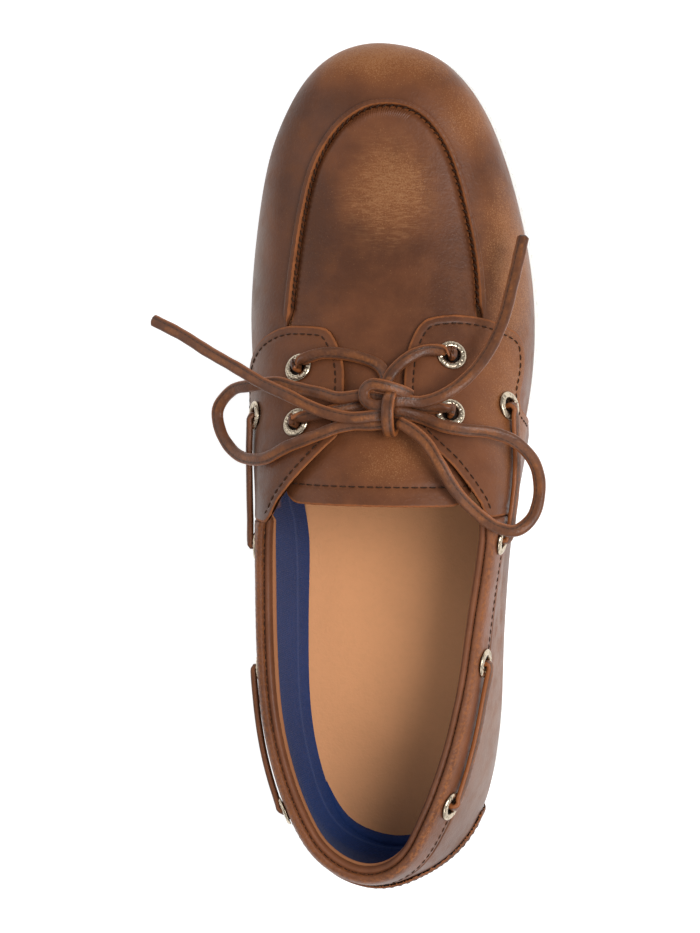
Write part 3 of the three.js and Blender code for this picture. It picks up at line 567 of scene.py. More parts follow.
def vamp_body():
    """The wall round the whole foot, its rim folded up along the seam, and its inner face."""
    a = np.arange(0, TURN, 1 / 14)
    e, lift = edge_t(a), rim_share(a)
    fold = 0.25 + 0.75 * lift
    rows = [(np.full_like(a, t), 0.0, FAR) for t in VAMP_FACE]
    rows += [(e * f, 0.0, FAR) for f in np.linspace(0.04, 0.965, 22)]
    rows += [(e + d * fold, np.where(h > 0, h * lift, h), k) for d, h, k in VAMP_RIM]
    rows += [(e * f, -WALL, FAR) for f in (1.0, 0.8, 0.55, 0.3, 0.08)]
    rows += [(np.full_like(a, t), -WALL, FAR) for t in VAMP_BACK]
    ripple = 0.10 * np.sin(2 * np.pi * a * 9.0) * lift
    grid = np.stack([last(a, t, h + (ripple if np.ndim(h) and k < 1.7 else 0.0)) for t, h, k in rows], 1)
    edge = np.stack([np.where(lift > 0.02, k, FAR) for _, _, k in rows], 1)
    quads = quads_of(len(a), len(rows), True, True)
    return build("vamp_leather", grid, quads, {"edge": edge, "pit": np.zeros(edge.size)})


def plug_grid():
    """Rows across the plug and tongue from the inner seam over the crest to the outer seam."""
    steps = (TONGUE_END + 0.35 * np.linspace(0, 1, 22)**2, np.linspace(TONGUE_END + 0.35, 10.2, 66),
             np.linspace(10.2, 15, 84), np.linspace(15, 17, 60))
    a = np.unique(np.concatenate(steps))
    seam_in, seam_out = edge_t(on_side("inner", a)) + SEAM, edge_t(a) + SEAM
    free_in = cubic(((TONGUE_END, 0.60), (7.5, 0.60), (8, 0.62), (8.5, 0.655), (9, 0.66), (9.93, 0.66),
                     (10.2, 0.67)), a)
    free_out = cubic(((TONGUE_END, 0.545), (7.5, 0.545), (8, 0.545), (8.5, 0.54), (9.93, 0.53),
                      (10.2, 0.54)), a)
    seam = ease((a - 9.85) / 0.3)
    corner = 0.13 * (1 - np.sqrt(1 - np.clip(1 - (a - TONGUE_END) / 0.34, 0, 1)**2))
    t_in, t_out = mix(free_in, seam_in, seam) + corner, mix(free_out, seam_out, seam) + corner
    near = np.array([0, 0.004, 0.010, 0.018, 0.028, 0.042, 0.06, 0.085, 0.12, 0.16])
    f = np.concatenate([near, np.linspace(0.2, 1, 24)])
    place = np.concatenate([np.repeat(TURN - a[:, None], len(f), 1), np.repeat(a[:, None], len(f) - 1, 1)], 1)
    t = np.concatenate([mix(t_in[:, None], 1, f), mix(t_out[:, None], 1, f[:-1])[:, ::-1]], 1)
    return place, t


PLUG_SUNK = ((TONGUE_END, 1.5), (8.0, 1.5), (8.6, 1.2), (9, 0.8), (9.5, 0.35), (9.93, 0.1), (10.3, 0.0))


def plug_relief(a, t, distance, mid):
    """Depth of the plug: groove and puckers beside the seam, sunk under the eyestays, worn creases."""
    heel = from_heel(a)
    x, y = mid[..., 0], mid[..., 1]
    seam = ease((heel - 10.0) / 0.3)
    groove = -(1 - ease(distance / 2.4)) * seam
    pucker = 0.24 * np.sin(2 * np.pi * heel * 8.7) * np.exp(-((distance - 1.8) / 1.5)**2) * seam
    worn = np.exp(-((x - 3) / 17)**2 - ((y - 97) / 19)**2)
    crease = np.sin(y * 3.1 + 2.2 * np.sin(x * 0.17) + 1.4 * np.sin(x * 0.53 + y * 0.3))
    crease = crease * np.sin(x * 0.47 + y * 0.6) * 0.05 * worn
    bend = np.exp(-((y - 26) / 8)**2) * np.cos(x * 0.12) * 0.25 * (1 - seam)
    line = -0.28 * np.exp(-((heel - 7.42) / 0.035)**2) * (1 - seam)
    return -cubic(PLUG_SUNK, heel) + groove + pucker + crease + bend + line


def plug_body():
    """The plug of the toe, carried back as the tongue."""
    return slab("plug_and_tongue", *plug_grid(), -WALL, WALL, 0.8, plug_relief, closed_end=True)


def quarter_edges(side):
    """Low and high edge of a quarter: eyestay and flare in front, under the collar's band behind."""
    rungs = list(EDGE_OUTER if side == "outer" else EDGE_INNER)
    end = COLLAR_END[side]
    for a in (end + 0.015, 6.5, 6, 5.4, 4.8, 4.2, 3.6, 3, 2.5, 2, 1.6, 1.2, 0.8, 0.4, 0.02):
        rungs.append((a, -0.93, a, float(drop_t(on_side(side, a), COLLAR_BAND))))
    return ladder(rungs, 9)


def stitch_dip(distance, away=3.0, wide=0.55, deep=0.24):
    """A soft trough along the stitch line beside an edge."""
    return -deep * np.exp(-((distance - away) / wide)**2)


def quarter_relief(a, t, distance, mid):
    """A quarter's surface: the stitch trough in front and faint waves over its large face."""
    front = ease((from_heel(a) - 6.9) / 0.15) * ease((t + 0.1) / 0.2)
    wave = 0.10 * np.sin(mid[..., 1] * 0.16 + mid[..., 2] * 0.11) * ease(distance / 6)
    return stitch_dip(distance) * front + wave


def quarter_body(side):
    """One quarter's leather with its eyestay."""
    a, t = fill_ladder(quarter_edges(side), side, QUARTER_FACE)
    pits = [seat["centre"] for name, seat in SEATS.items()
            if seat["side"] == side and name[7:-6] not in IN_COLLAR]
    covered = (from_heel(a) < COLLAR_END[side]) * (t > -0.5)
    return slab(f"quarter_{side}_leather", a, t, LAY, LEATHER, 0.7, quarter_relief, pits, covered=covered)


COLLAR_LINE = (
    (0.66, -13.0), (0.66, -13.05), (1.5, -13.1), (2.05, -12.95), (2.25, -12.5), (2.25, -11.5), (2.1, -11.0),
    (2.25, -10.4), (2.3, -8.5), (2.3, -6.5), (2.3, -4.6), (2.25, -3.2), (2.05, -2.0), (1.65, -1.0),
    (1.05, -0.3), (0.35, 0.0), (-0.25, -0.1), (-0.65, -0.5), (-0.9, -1.15), (-1.1, -1.5), (-1.3, -1.1),
    (-1.6, -0.45), (-2.1, -0.05), (-2.7, -0.1), (-3.3, -0.5), (-3.75, -1.2), (-4.0, -2.0), (-3.95, -2.6),
    (-3.75, -2.95), (-3.95, -3.35), (-4.7, -3.8), (-5.05, -4.5), (-4.9, -5.4), (-4.1, -5.95), (-1.5, -6.3),
    (0.66, -6.45), (0.66, -9.5))
COLLAR_TAIL = 0.24
COLLAR_TAN = 27
COLLAR_TAN_END = 33


def collar_places():
    """Places round the opening, closer together at both ends of the collar."""
    first, end = -COLLAR_END["inner"] - COLLAR_TAIL, COLLAR_END["outer"] + COLLAR_TAIL
    near = 0.45 * np.linspace(0, 1, 24)**2
    return np.unique(np.concatenate([np.linspace(first, end, 440), first + near, end - near]))[:, None]


def collar_body():
    """The collar: its section is carried round the opening, gathered and slimmed at both ends."""
    a = collar_places()
    off, rise = np.array(COLLAR_LINE).T
    number = np.arange(len(off))
    p = np.repeat(np.mod(a, TURN), len(off), 1)
    t = level_t(p, top_height(p) + rise)
    past = np.abs(a) - np.where(a > 0, COLLAR_END["outer"], COLLAR_END["inner"])
    under = ease((past + 0.03) / 0.07)
    slim = ease((past + 0.02) / (COLLAR_TAIL + 0.02))
    off = np.where(off > 0.45, mix(off, 0.45, under), mix(off, -0.6 + 0.22 * (off + 0.6), slim))
    cracks = 0.10 * np.sin(a * 61 + 2.5 * np.sin(number * 0.9)) * np.sin(a * 23 + number * 0.5)
    gather = 0.55 * np.sin(number * 1.9 + 0.8 * np.sin(a * 29)) * np.exp(-np.abs(past) * 17 / 4.0)
    grid = last(p, t, off + (cracks + gather) * np.exp(-((number - 17) / 6.5)**2))
    to_end = np.minimum(a - a[0], a[-1] - a) * 17
    close = np.sqrt(np.clip(1 - np.clip(1 - to_end / 2.4, 0, 1)**2, 0, 1))[..., None]
    middle = grid[:, [12, 16, 26, 32]].mean(1, keepdims=True)
    grid = middle + (grid - middle) * close
    centres = [seat["centre"] for name, seat in SEATS.items() if name[7:-6] in IN_COLLAR]
    pit = pits_in(grid, centres) * (number < 14)
    grid = grid - normal_at(p, t) * (pit * 1.1)[..., None]
    rows = {
        "edge": FAR,
        "tan": (number >= COLLAR_TAN) & (number <= COLLAR_TAN_END),
        "crown": np.exp(-((number - 16) / 4.5)**2),
        "rub": np.exp(-((number - 13) / 1.5)**2) + 0.8 * np.exp(-((number - 17.3) / 1.2)**2),
    }
    values = {key: np.broadcast_to(row, pit.shape) for key, row in rows.items()}
    return build("collar_leather", grid, quads_of(*pit.shape, False, True), {"pit": pit, **values})


PATCH_END = 2.35
PATCH_EDGE = ((0, 0.2), (0.5, 0.19), (0.8, 0.165), (1, 0.105), (1.25, 0.05), (1.5, 0.022), (1.8, 0.008),
              (2.1, -0.02), (PATCH_END, -0.09))


def patch_relief(a, t, distance, mid):
    """The heel patch's surface: the stitch trough, which fades out towards the sole."""
    return stitch_dip(distance, 2.6) * ease((t + 0.55) / 0.15)


def heel_patch_body():
    """The heel patch: a leather over both quarters with a hollow upper edge."""
    near = 0.12 * np.linspace(0, 1, 10)**2
    even = np.linspace(-PATCH_END, PATCH_END, 180)
    s = np.unique(np.concatenate([even, near - PATCH_END, PATCH_END - near]))
    base = QUARTER_FACE - 0.25
    f = edge_steps(np.full(len(s), 26.0), 20)
    a = np.repeat(s[:, None] + TURN, f.shape[1], 1)
    t = mix(floor_t(s + TURN, base + LEATHER)[:, None], cubic(PATCH_EDGE, np.abs(s))[:, None], f)
    return slab("heel_patch_leather", a, t, base, LEATHER, 0.7, patch_relief, covered=0.05, seated=True)


def lining_body():
    """The cloth lining: a thin sleeve inside the wall, from the insole to the collar."""
    a = np.arange(0, TURN, 1 / 10)[:, None]
    f = np.concatenate([[0, 0.004, 0.012], np.linspace(0.03, 0.97, 34), [0.99, 0.997, 1.0]])
    heel = from_heel(a)
    drop = mix(6.3, 1.7, ease((heel - 6.6) / 0.2))
    t = mix(-0.93, np.where(heel < 7.1, drop_t(a, drop), edge_t(a) - 0.03), f)
    seam = 0.14 * np.exp(-((f - 0.52) / 0.010)**2)
    quilt = 0.05 * np.sin(a * 3.1 + 5 * f)
    swell = (2.6 + 5.0 * np.exp(-(heel / 2.2)**2)) * (1 - ease((t + 0.93) / 1.15)) * ease(f / 0.05)
    swell = swell * ease((7.6 - heel) / 1.5)
    depth = 0.45 * np.sqrt(np.clip(np.minimum(f, 1 - f) / 0.01, 0, 1)) + swell
    face = last(a, t, -WALL - 0.05 - depth - seam + quilt)
    back = last(a, t, -WALL - 0.02)
    back[:, [0, -1]] = face[:, [0, -1]]
    deep = 0.26 * ease((heel - 6.74) / 0.14) * ease((7.6 - heel) / 0.3)
    bind = ease((f - 0.94 + deep) / 0.02) * ease((heel - 6.45) / 0.2) * ease((7.9 - heel) / 0.3)
    welt = np.broadcast_to(np.exp(-((f - 0.52) / 0.006)**2), t.shape)
    return shell("cloth_lining", face, back, True, {"welt": welt, "bind": bind})


def insole_body():
    """The footbed: a padded leaf, dished at the heel and ball, with a rolled edge."""
    a = np.arange(0, TURN, 1 / 14)
    c = ring(a)
    bottom = FLANGE_FILL + GAP
    edge = last(a, level_t(a, c["bed"] + bottom + 1.2), -WALL - LAY)
    f = np.concatenate([np.linspace(0, 0.9, 30), [0.93, 0.955, 0.972, 0.984, 0.992, 0.997, 1.0]])
    x = mix((c["qx"] + CENTRE_X)[:, None], edge[:, :1], f)
    y = mix((c["qy"] + CENTRE_Y)[:, None], edge[:, 1:2], f)
    bed = cubic(FOOTBED, (y - CENTRE_Y) / LENGTH + 0.5) + GAP + bottom
    away = (1 - f) * np.hypot(edge[:, 0] - c["qx"] - CENTRE_X, edge[:, 1] - c["qy"] - CENTRE_Y)[:, None]
    full = (1 - np.clip(1 - away / 1.6, 0, 1)**2)**0.5
    dish = -0.7 * np.exp(-((x / 20)**2 + ((y + 112) / 26)**2))
    dish = dish - 0.5 * np.exp(-(((x + 4) / 30)**2 + ((y - 50) / 26)**2))
    cup = 0.5 * np.exp(-(away / 5.0)**2)
    top = np.stack([x, y, bed + INSOLE * (0.35 + 0.65 * full) + (dish + cup) * full], -1)
    low = np.stack([x, y, bed + INSOLE * 0.35 * (1 - full)], -1)
    return shell("footbed", top, low, True, {"edge": away, "pit": np.zeros_like(x)})


def sole_body():
    """The moulded sole: its side profile is carried round the ring, and both faces run in to the middle."""
    breast = np.linspace(4.9, 5.5, 28)
    a = np.unique(np.concatenate([np.arange(0, TURN, 1 / 14), breast, TURN - breast]))
    c = ring(a)
    side = ((0.9, 1, 0.0), (0.35, 1, 0.0), (0.1, 1, -0.15), (0.0, 1, -0.5), (0, 1, -1.4), (0.0, 1, -3.0),
            (0.05, 1, -3.3), (0.3, 1, -3.55), (0.8, 1, -3.75), (0.9, 1, -4.0), (0.8, 1, -4.3),
            (0.3, 1, -4.55), (0.1, 1, -4.8), (0.08, 1, -5.4))
    lower = ((0.12, 0, 3.6), (0.16, 0, 2.6), (0.2, 0, 1.6), (0.3, 0, 0.9), (0.55, 0, 0.35), (0.95, 0, 0.08),
             (1.5, 0, 0))

    def loop(reach, level, rise):
        x, y = c["qx"] + c["ux"] * reach, c["qy"] + c["uy"] * reach
        s = y / LENGTH + 0.5
        z = (cubic(FOOTBED, s) if level else cubic(TREAD, s)) + rise
        return np.stack([x + CENTRE_X, y + CENTRE_Y, z], -1)

    rim = c["reach"] - c["tuck"] + WELT
    rows = [loop(mix(0, rim - 4.2, f), 1, 2.3) for f in np.linspace(0, 1, 10)]
    rows += [loop(rim - 4.2, 1, 0.1), loop(rim - 4.0, 1, 0.0), loop(rim - 2.0, 1, 0.0)]
    rows += [loop(rim - inset_by, level, rise) for inset_by, level, rise in side]
    first, second = rows[-1], loop(rim - lower[0][0], 0, lower[0][2])
    rows += [mix(first, second, f) for f in (0.2, 0.4, 0.6, 0.8)]
    rows += [loop(rim - inset_by, level, rise) for inset_by, level, rise in lower]
    rows += [loop(mix(rim - 1.5, 0, f), 0, 0.0) for f in np.linspace(0.02, 1, 40)]
    grid = np.stack(rows, 1)
    return build("rubber_sole", grid, quads_of(len(a), grid.shape[1], True, False))


def sole_stitching():
    """Thread in the groove round the sole's side."""
    c = ring(np.arange(0, TURN + 0.01, 1 / 14))
    reach = c["reach"] - c["tuck"] + WELT - 0.62
    x, y = c["qx"] + c["ux"] * reach, c["qy"] + c["uy"] * reach
    line = np.stack([x + CENTRE_X, y + CENTRE_Y, cubic(FOOTBED, y / LENGTH + 0.5) - 4.02], -1)
    run = travelled(line)
    at, x = stitch_places(path_length(line), 3.2, 4.2)
    face = unit(read_at(at, run, np.stack([c["ux"], c["uy"], 0 * reach], -1)))
    centre = read_at(at, run, line) + face * (0.14 - 0.4 * np.abs(2 * x)**4)[:, None]
    side = unit(np.cross(face, unit(np.gradient(centre, axis=1))))
    return tubes(centre, side, face, np.tile(0.36 * (1 - 0.3 * np.abs(2 * x)**4), (len(at), 1)))


FLUSH = {"eyelet_side2_inner": 0.8, "eyelet_side3_inner": 0.9}
EYELET_LINE = (
    (2.85, -1.4), (2.82, 0.2), (2.86, 0.75), (3.0, 1.02), (3.25, 1.18), (3.6, 1.25), (4.0, 1.24), (4.4, 1.16),
    (4.75, 1.0), (4.98, 0.78), (5.08, 0.52), (5.1, 0.3), (4.9, 0.26), (4.0, 0.26), (3.4, 0.2), (3.35, -0.2),
    (3.35, -1.4), (3.1, -1.5))


def eyelet_body(name):
    """One eyelet: a rolled ring turned round its axis, its face worked with fine notches and dots."""
    centre, up = SEATS[name]["centre"], SEATS[name]["normal"]
    side = unit(np.cross(up, [0.0, 1.0, 0.13]))
    fore = np.cross(up, side)
    phi = np.linspace(0, 2 * np.pi, 120, endpoint=False)[:, None]
    r, h = np.array(EYELET_LINE).T
    work = 0.09 * np.sin(phi * 26) * np.sin(phi * 5 + 1.0) + 0.07 * np.sin(phi * 15 + 0.6)
    work = work * (np.exp(-((r - 4.05) / 0.62)**2) * (h > 0.9))
    height = h + work - FLUSH.get(name, 0.0)
    round_it = np.cos(phi)[..., None] * side + np.sin(phi)[..., None] * fore
    points = centre + r[:, None] * round_it + height[..., None] * up
    return build(f"{name}_ring", points, quads_of(*work.shape, True, True), {"work": work / 0.16})


# The lace

LOOSE = {
    "lace_loop_inner": (
        (13.0, 26.0, 81.0), (7.5, 27.6, 81.2), (0.8, 28.4, 81.6), (-6.5, 27.5, 81.5), (-13, 28.8, 79.5),
        (-23.4, 30.4, 76), (-30.5, 31.7, 73), (-40.8, 30.1, 68), (-49.6, 27.8, 62), (-56, 20.6, 58),
        (-54.3, 13.1, 60), (-46.4, 6.1, 67), (-35, 5.6, 76), (-23.5, 11, 83), (-12.5, 15.3, 85.2),
        (-6, 17.8, 85), (-1, 18.9, 84.6), (5, 19.0, 84.2), (12, 19.6, 83.6)),
    "lace_loop_outer": (
        (12.5, 23.4, 82.4), (17, 22.6, 81.4), (22, 21.2, 80.3), (29, 18.8, 81), (36, 17.5, 80),
        (44.5, 16.4, 76), (52, 13.2, 72), (57.8, 6, 68), (59.4, -3, 66), (57.4, -12.4, 67), (52.4, -17, 70),
        (46.6, -15.5, 75), (40.5, -9.5, 82), (34.5, -2, 86), (29.5, 7, 88), (25, 13.5, 87), (20, 17.6, 86.2),
        (14.5, 20.4, 85.2)),
    "lace_end_inner": (
        (12.5, 22.8, 84.6), (6.5, 22.0, 86.2), (0.5, 21.4, 87.2), (-4.6, 21.9, 87.3), (-13, 24.2, 87.5),
        (-22, 28.2, 87), (-32.5, 32, 83), (-43.6, 37, 78), (-55.2, 41.9, 72), (-66.6, 47.2, 66),
        (-79, 51.9, 60)),
    "lace_end_outer": (
        (12.5, 27.0, 83.0), (17, 26.9, 81.6), (21.8, 26.6, 80.4), (30, 29.5, 80), (36.8, 35, 76),
        (42.4, 43.5, 69), (45.8, 53.5, 62), (47.6, 64, 56.5), (49, 73.4, 52), (50.2, 81.6, 49)),
}
KNOT = (
    (12.6, 26.0, 80.2), (12.4, 21.0, 79.6), (12.2, 17.2, 81.2), (12.0, 15.9, 84.4), (12.0, 17.8, 87.4),
    (12.0, 21.4, 88.9), (12.0, 25.2, 88.6), (12.0, 28.2, 86.4), (12.0, 29.2, 83.2), (12.2, 27.4, 80.4))
KNOT_CENTRE = (12.0, 22.4, 84.2)
HOOK = (
    (18.5, 28.4, 80.0), (15.0, 30.4, 82.6), (10.0, 32.0, 84.2), (5.4, 32.4, 84.4), (3.0, 30.2, 84.2),
    (3.6, 27.0, 84.8), (6.8, 25.4, 85.8), (10.4, 25.4, 85.2), (13.2, 25.4, 83.4))
UP = (0.0, 0.0, 1.0)
HOOK_FACING = ((0.4, 0, 1), UP, UP, (-0.3, 0.2, 1), (-0.5, 0, 1), (-0.3, -0.3, 1), UP, UP, UP)
LACE_SECTION = 28
LACE_STITCH = 2.1


def crown_at(x, y):
    """Height of the last over a plan point between the waist and the toe."""
    px, py = x - CENTRE_X, y - CENTRE_Y
    place = bisect(4.0, 14.0, 30, lambda a: ring(a)["y"] < py)[0]
    c = ring(place if px > cubic(CREST, py / LENGTH + 0.5) else TURN - place)
    t = bisect(0.0, 1.0, 30, lambda t: profile(c, t)[0] > abs(px - c["qx"]))[0]
    return float(profile(c, t)[1])


def over(points):
    """Plan points with a height over the last, as points in space."""
    return [(x, y, crown_at(x, y) + h) for x, y, h in points]


def strand(name, points, facing, wide, thick, step=0.8, mirror=1.0):
    """A rawhide strand: a rounded flat section carried along a curve, one edge stitched and raw."""
    line = catmull(points, step)
    along = unit(np.gradient(line, axis=0))
    side = unit(np.cross(along, directions_along(points, facing, len(line))))
    up = unit(np.cross(side, along))
    run = travelled(line)
    phi = np.linspace(0, 2 * np.pi, LACE_SECTION, endpoint=False)
    c, s = np.cos(phi), np.sin(phi)
    x, y = np.sign(c) * np.abs(c)**0.72, np.sign(s) * np.abs(s)**0.80
    to_end = np.minimum(run, run[-1] - run)
    full = np.sqrt(np.clip(1 - np.clip(1 - to_end / 0.7, 0, 1)**2, 0.0, 1))
    full[[0, -1]] = 0.55
    wave = 1 + 0.035 * np.sin(run * 0.55) * np.sin(run * 0.21 + 1)
    groove = (1 - 0.16 * np.exp(-((x - 0.42) / 0.14)**2)) * (1 - 0.10 * x)
    stitch = 0.05 * np.cos(run * 2 * np.pi / LACE_STITCH)[:, None] * np.exp(-((x - 0.42) / 0.12)**2)
    across = mirror * wide / 2 * (full * wave)[:, None] * x
    tall = thick / 2 * full[:, None] * groove * y * (1 + stitch)
    grid = line[:, None] + side[:, None] * across[..., None] + up[:, None] * tall[..., None]
    ends = [np.repeat(line[k][None, None], LACE_SECTION, 1) for k in (0, -1)]
    grid = np.concatenate([ends[0], grid, ends[1]], 0)
    run = np.concatenate([run[:1], run, run[-1:]])
    values = {"run": np.repeat(run[:, None], LACE_SECTION, 1), "across": np.repeat(x[None], len(run), 0)}
    return build(name, grid, quads_of(len(run), LACE_SECTION, False, True), values), line


def directions_along(points, values, count):
    """Directions given at the points of a curve, read at even steps along it."""
    run = travelled(np.asarray(points, float))
    return unit(read_at(np.linspace(0, run[-1], count), run, values))


def lifted(name, height):
    """Point on an eyelet's axis."""
    seat = SEATS[name]
    return seat["centre"] + seat["normal"] * height


def side_run(side, numbers):
    """Points and facing of the lace along the wall between two side eyelets, given by their numbers."""
    names = [f"eyelet_side{number}_{side}" for number in numbers]
    e0, e1 = SEATS[names[0]], SEATS[names[1]]
    middle = [last(on_side(side, mix(e0["place"], e1["place"], f)), mix(e0["t"], e1["t"], f) - 0.01,
                   QUARTER_FACE + 1.7) for f in (0.2, 0.5, 0.8)]
    top = 1.9 if side == "outer" else 1.4
    first = [lifted(names[0], h) for h in (-1.2, 0.5, top)]
    end = [lifted(names[1], h) for h in (top, 0.5, -1.2)]
    aim = [unit(e0["centre"] - middle[0]), unit(e1["centre"] - middle[2])]
    out = unit(e0["normal"] + e1["normal"])
    return first + middle + end, [aim[0]] * 3 + [out] * 3 + [aim[1]] * 3


def crossing_arm(front, rear, points):
    """Points and facing of one bar of the lace from a front to a rear eyelet."""
    middle = over(points)
    path = [lifted(front, h) for h in (-1, 1.2, 3.2)] + middle + [lifted(rear, h) for h in (3.2, 1.2, -1)]
    first = unit(SEATS[front]["centre"] - np.array(middle[0]))
    end = unit(SEATS[rear]["centre"] - np.array(middle[-1]))
    return path, [first] * 3 + [UP] * len(middle) + [end] * 3


# Shader groups

def node(tree, kind, inputs=None, **options):
    """Adds a node, sets its options, and sets or links its inputs by name or number."""
    made = tree.nodes.new(kind)
    for key, value in options.items():
        setattr(made, key, value)
    for key, value in (inputs or {}).items():
        feed(tree, made.inputs[key], value)
    return made


def feed(tree, socket, value):
    """Links a socket to another, or sets its own number, vector or colour."""
    if isinstance(value, bpy.types.NodeSocket):
        tree.links.new(value, socket)
    elif socket.type == "RGBA":
        socket.default_value = (*value[:3], 1.0)
    else:
        socket.default_value = value


def group(name, ins, out):
    """A new shader group with one output; ins gives each input's name and default, None for a vector."""
    tree = bpy.data.node_groups.new(name, "ShaderNodeTree")
    for label, default in ins.items():
        kind = "NodeSocketVector" if default is None else "NodeSocketFloat"
        socket = tree.interface.new_socket(label, in_out="INPUT", socket_type=kind)
        if default is not None:
            socket.default_value = default
    tree.interface.new_socket(out, in_out="OUTPUT", socket_type="NodeSocketFloat")
    return tree, tree.nodes.new("NodeGroupInput").outputs, tree.nodes.new("NodeGroupOutput").inputs[out]


def math_node(tree, operation, *values):
    """The result of a Math node."""
    return node(tree, "ShaderNodeMath", dict(enumerate(values)), operation=operation).outputs[0]


def vector_node(tree, operation, *values):
    """A Vector Math node."""
    return node(tree, "ShaderNodeVectorMath", dict(enumerate(values)), operation=operation)


def noise_node(tree, vector, scale, detail, roughness=0.5):
    """The outputs of a noise texture."""
    ins = {"Vector": vector, "Scale": scale, "Detail": detail, "Roughness": roughness}
    return node(tree, "ShaderNodeTexNoise", ins).outputs


def ramp(tree, value, low, high, to_low=0.0, to_high=1.0):
    """Smooth map of a value from low..high to to_low..to_high."""
    ins = {"Value": value, "From Min": low, "From Max": high, "To Min": to_low, "To Max": to_high}
    return node(tree, "ShaderNodeMapRange", ins, interpolation_type="SMOOTHSTEP").outputs["Result"]


def mottle_group():
    """Soft clouds of tone: layered noise with its contrast raised."""
    tree, i, out = group("Mottle", {"Vector": None, "Scale": 40.0, "Low": 0.35, "High": 0.65}, "Mask")
    noise = noise_node(tree, i["Vector"], i["Scale"], 5.0, 0.6)["Fac"]
    tree.links.new(ramp(tree, noise, i["Low"], i["High"]), out)
    return tree


def grain_group():
    """Leather grain: small cells with soft walls, and fine noise over them."""
    tree, i, out = group("Hide grain", {"Vector": None, "Scale": 900.0}, "Height")
    bent = noise_node(tree, i["Vector"], 350.0, 2.0)["Color"]
    shift = vector_node(tree, "MULTIPLY", bent, (0.0012, 0.0012, 0.0012)).outputs[0]
    place = vector_node(tree, "ADD", i["Vector"], shift).outputs[0]
    cells = node(tree, "ShaderNodeTexVoronoi", {"Vector": place, "Scale": i["Scale"]}, feature="SMOOTH_F1")
    fine = noise_node(tree, i["Vector"], math_node(tree, "MULTIPLY", i["Scale"], 1.7), 4.0)["Fac"]
    tree.links.new(math_node(tree, "MULTIPLY_ADD", fine, 0.7, cells.outputs["Distance"]), out)
    return tree


def scuff_group():
    """Fine light specks and short scratches where wax has lifted, in drifts."""
    tree, i, out = group("Scuffs", {"Vector": None, "Amount": 0.5, "Scale": 900.0}, "Mask")
    speck = noise_node(tree, i["Vector"], i["Scale"], 3.0, 0.7)["Fac"]
    drift = noise_node(tree, i["Vector"], 90.0, 3.0)["Fac"]
    level = math_node(tree, "MULTIPLY_ADD", i["Amount"], -0.22, 0.70)
    level = math_node(tree, "MULTIPLY_ADD", drift, -0.12, level)
    tree.links.new(ramp(tree, math_node(tree, "SUBTRACT", speck, level), 0.0, 0.09), out)
    return tree


def spot_group():
    """A soft patch round a centre, its border broken by noise."""
    tree, i, out = group("Spot", {"Vector": None, "Centre": None, "Size": None}, "Mask")
    away = vector_node(tree, "SUBTRACT", i["Vector"], i["Centre"]).outputs[0]
    away = vector_node(tree, "DIVIDE", away, i["Size"]).outputs[0]
    away = vector_node(tree, "LENGTH", away).outputs["Value"]
    noise = noise_node(tree, i["Vector"], 70.0, 5.0, 0.65)["Fac"]
    tree.links.new(ramp(tree, math_node(tree, "MULTIPLY_ADD", noise, 0.7, away), 0.45, 1.35, 1.0, 0.0), out)
    return tree


def cut_group():
    """A raw cut edge: the distance from the edge against a width, roughened by noise."""
    tree, i, out = group("Cut edge", {"Vector": None, "Distance": FAR, "Width": 0.8}, "Mask")
    noise = noise_node(tree, i["Vector"], 600.0, 3.0)["Fac"]
    ragged = math_node(tree, "MULTIPLY_ADD", noise, 0.8, math_node(tree, "SUBTRACT", i["Distance"], 0.4))
    tree.links.new(ramp(tree, math_node(tree, "DIVIDE", ragged, i["Width"]), 0.7, 1.5, 1.0, 0.0), out)
    return tree


GROUPS = {}
MATERIALS = {}


# Materials

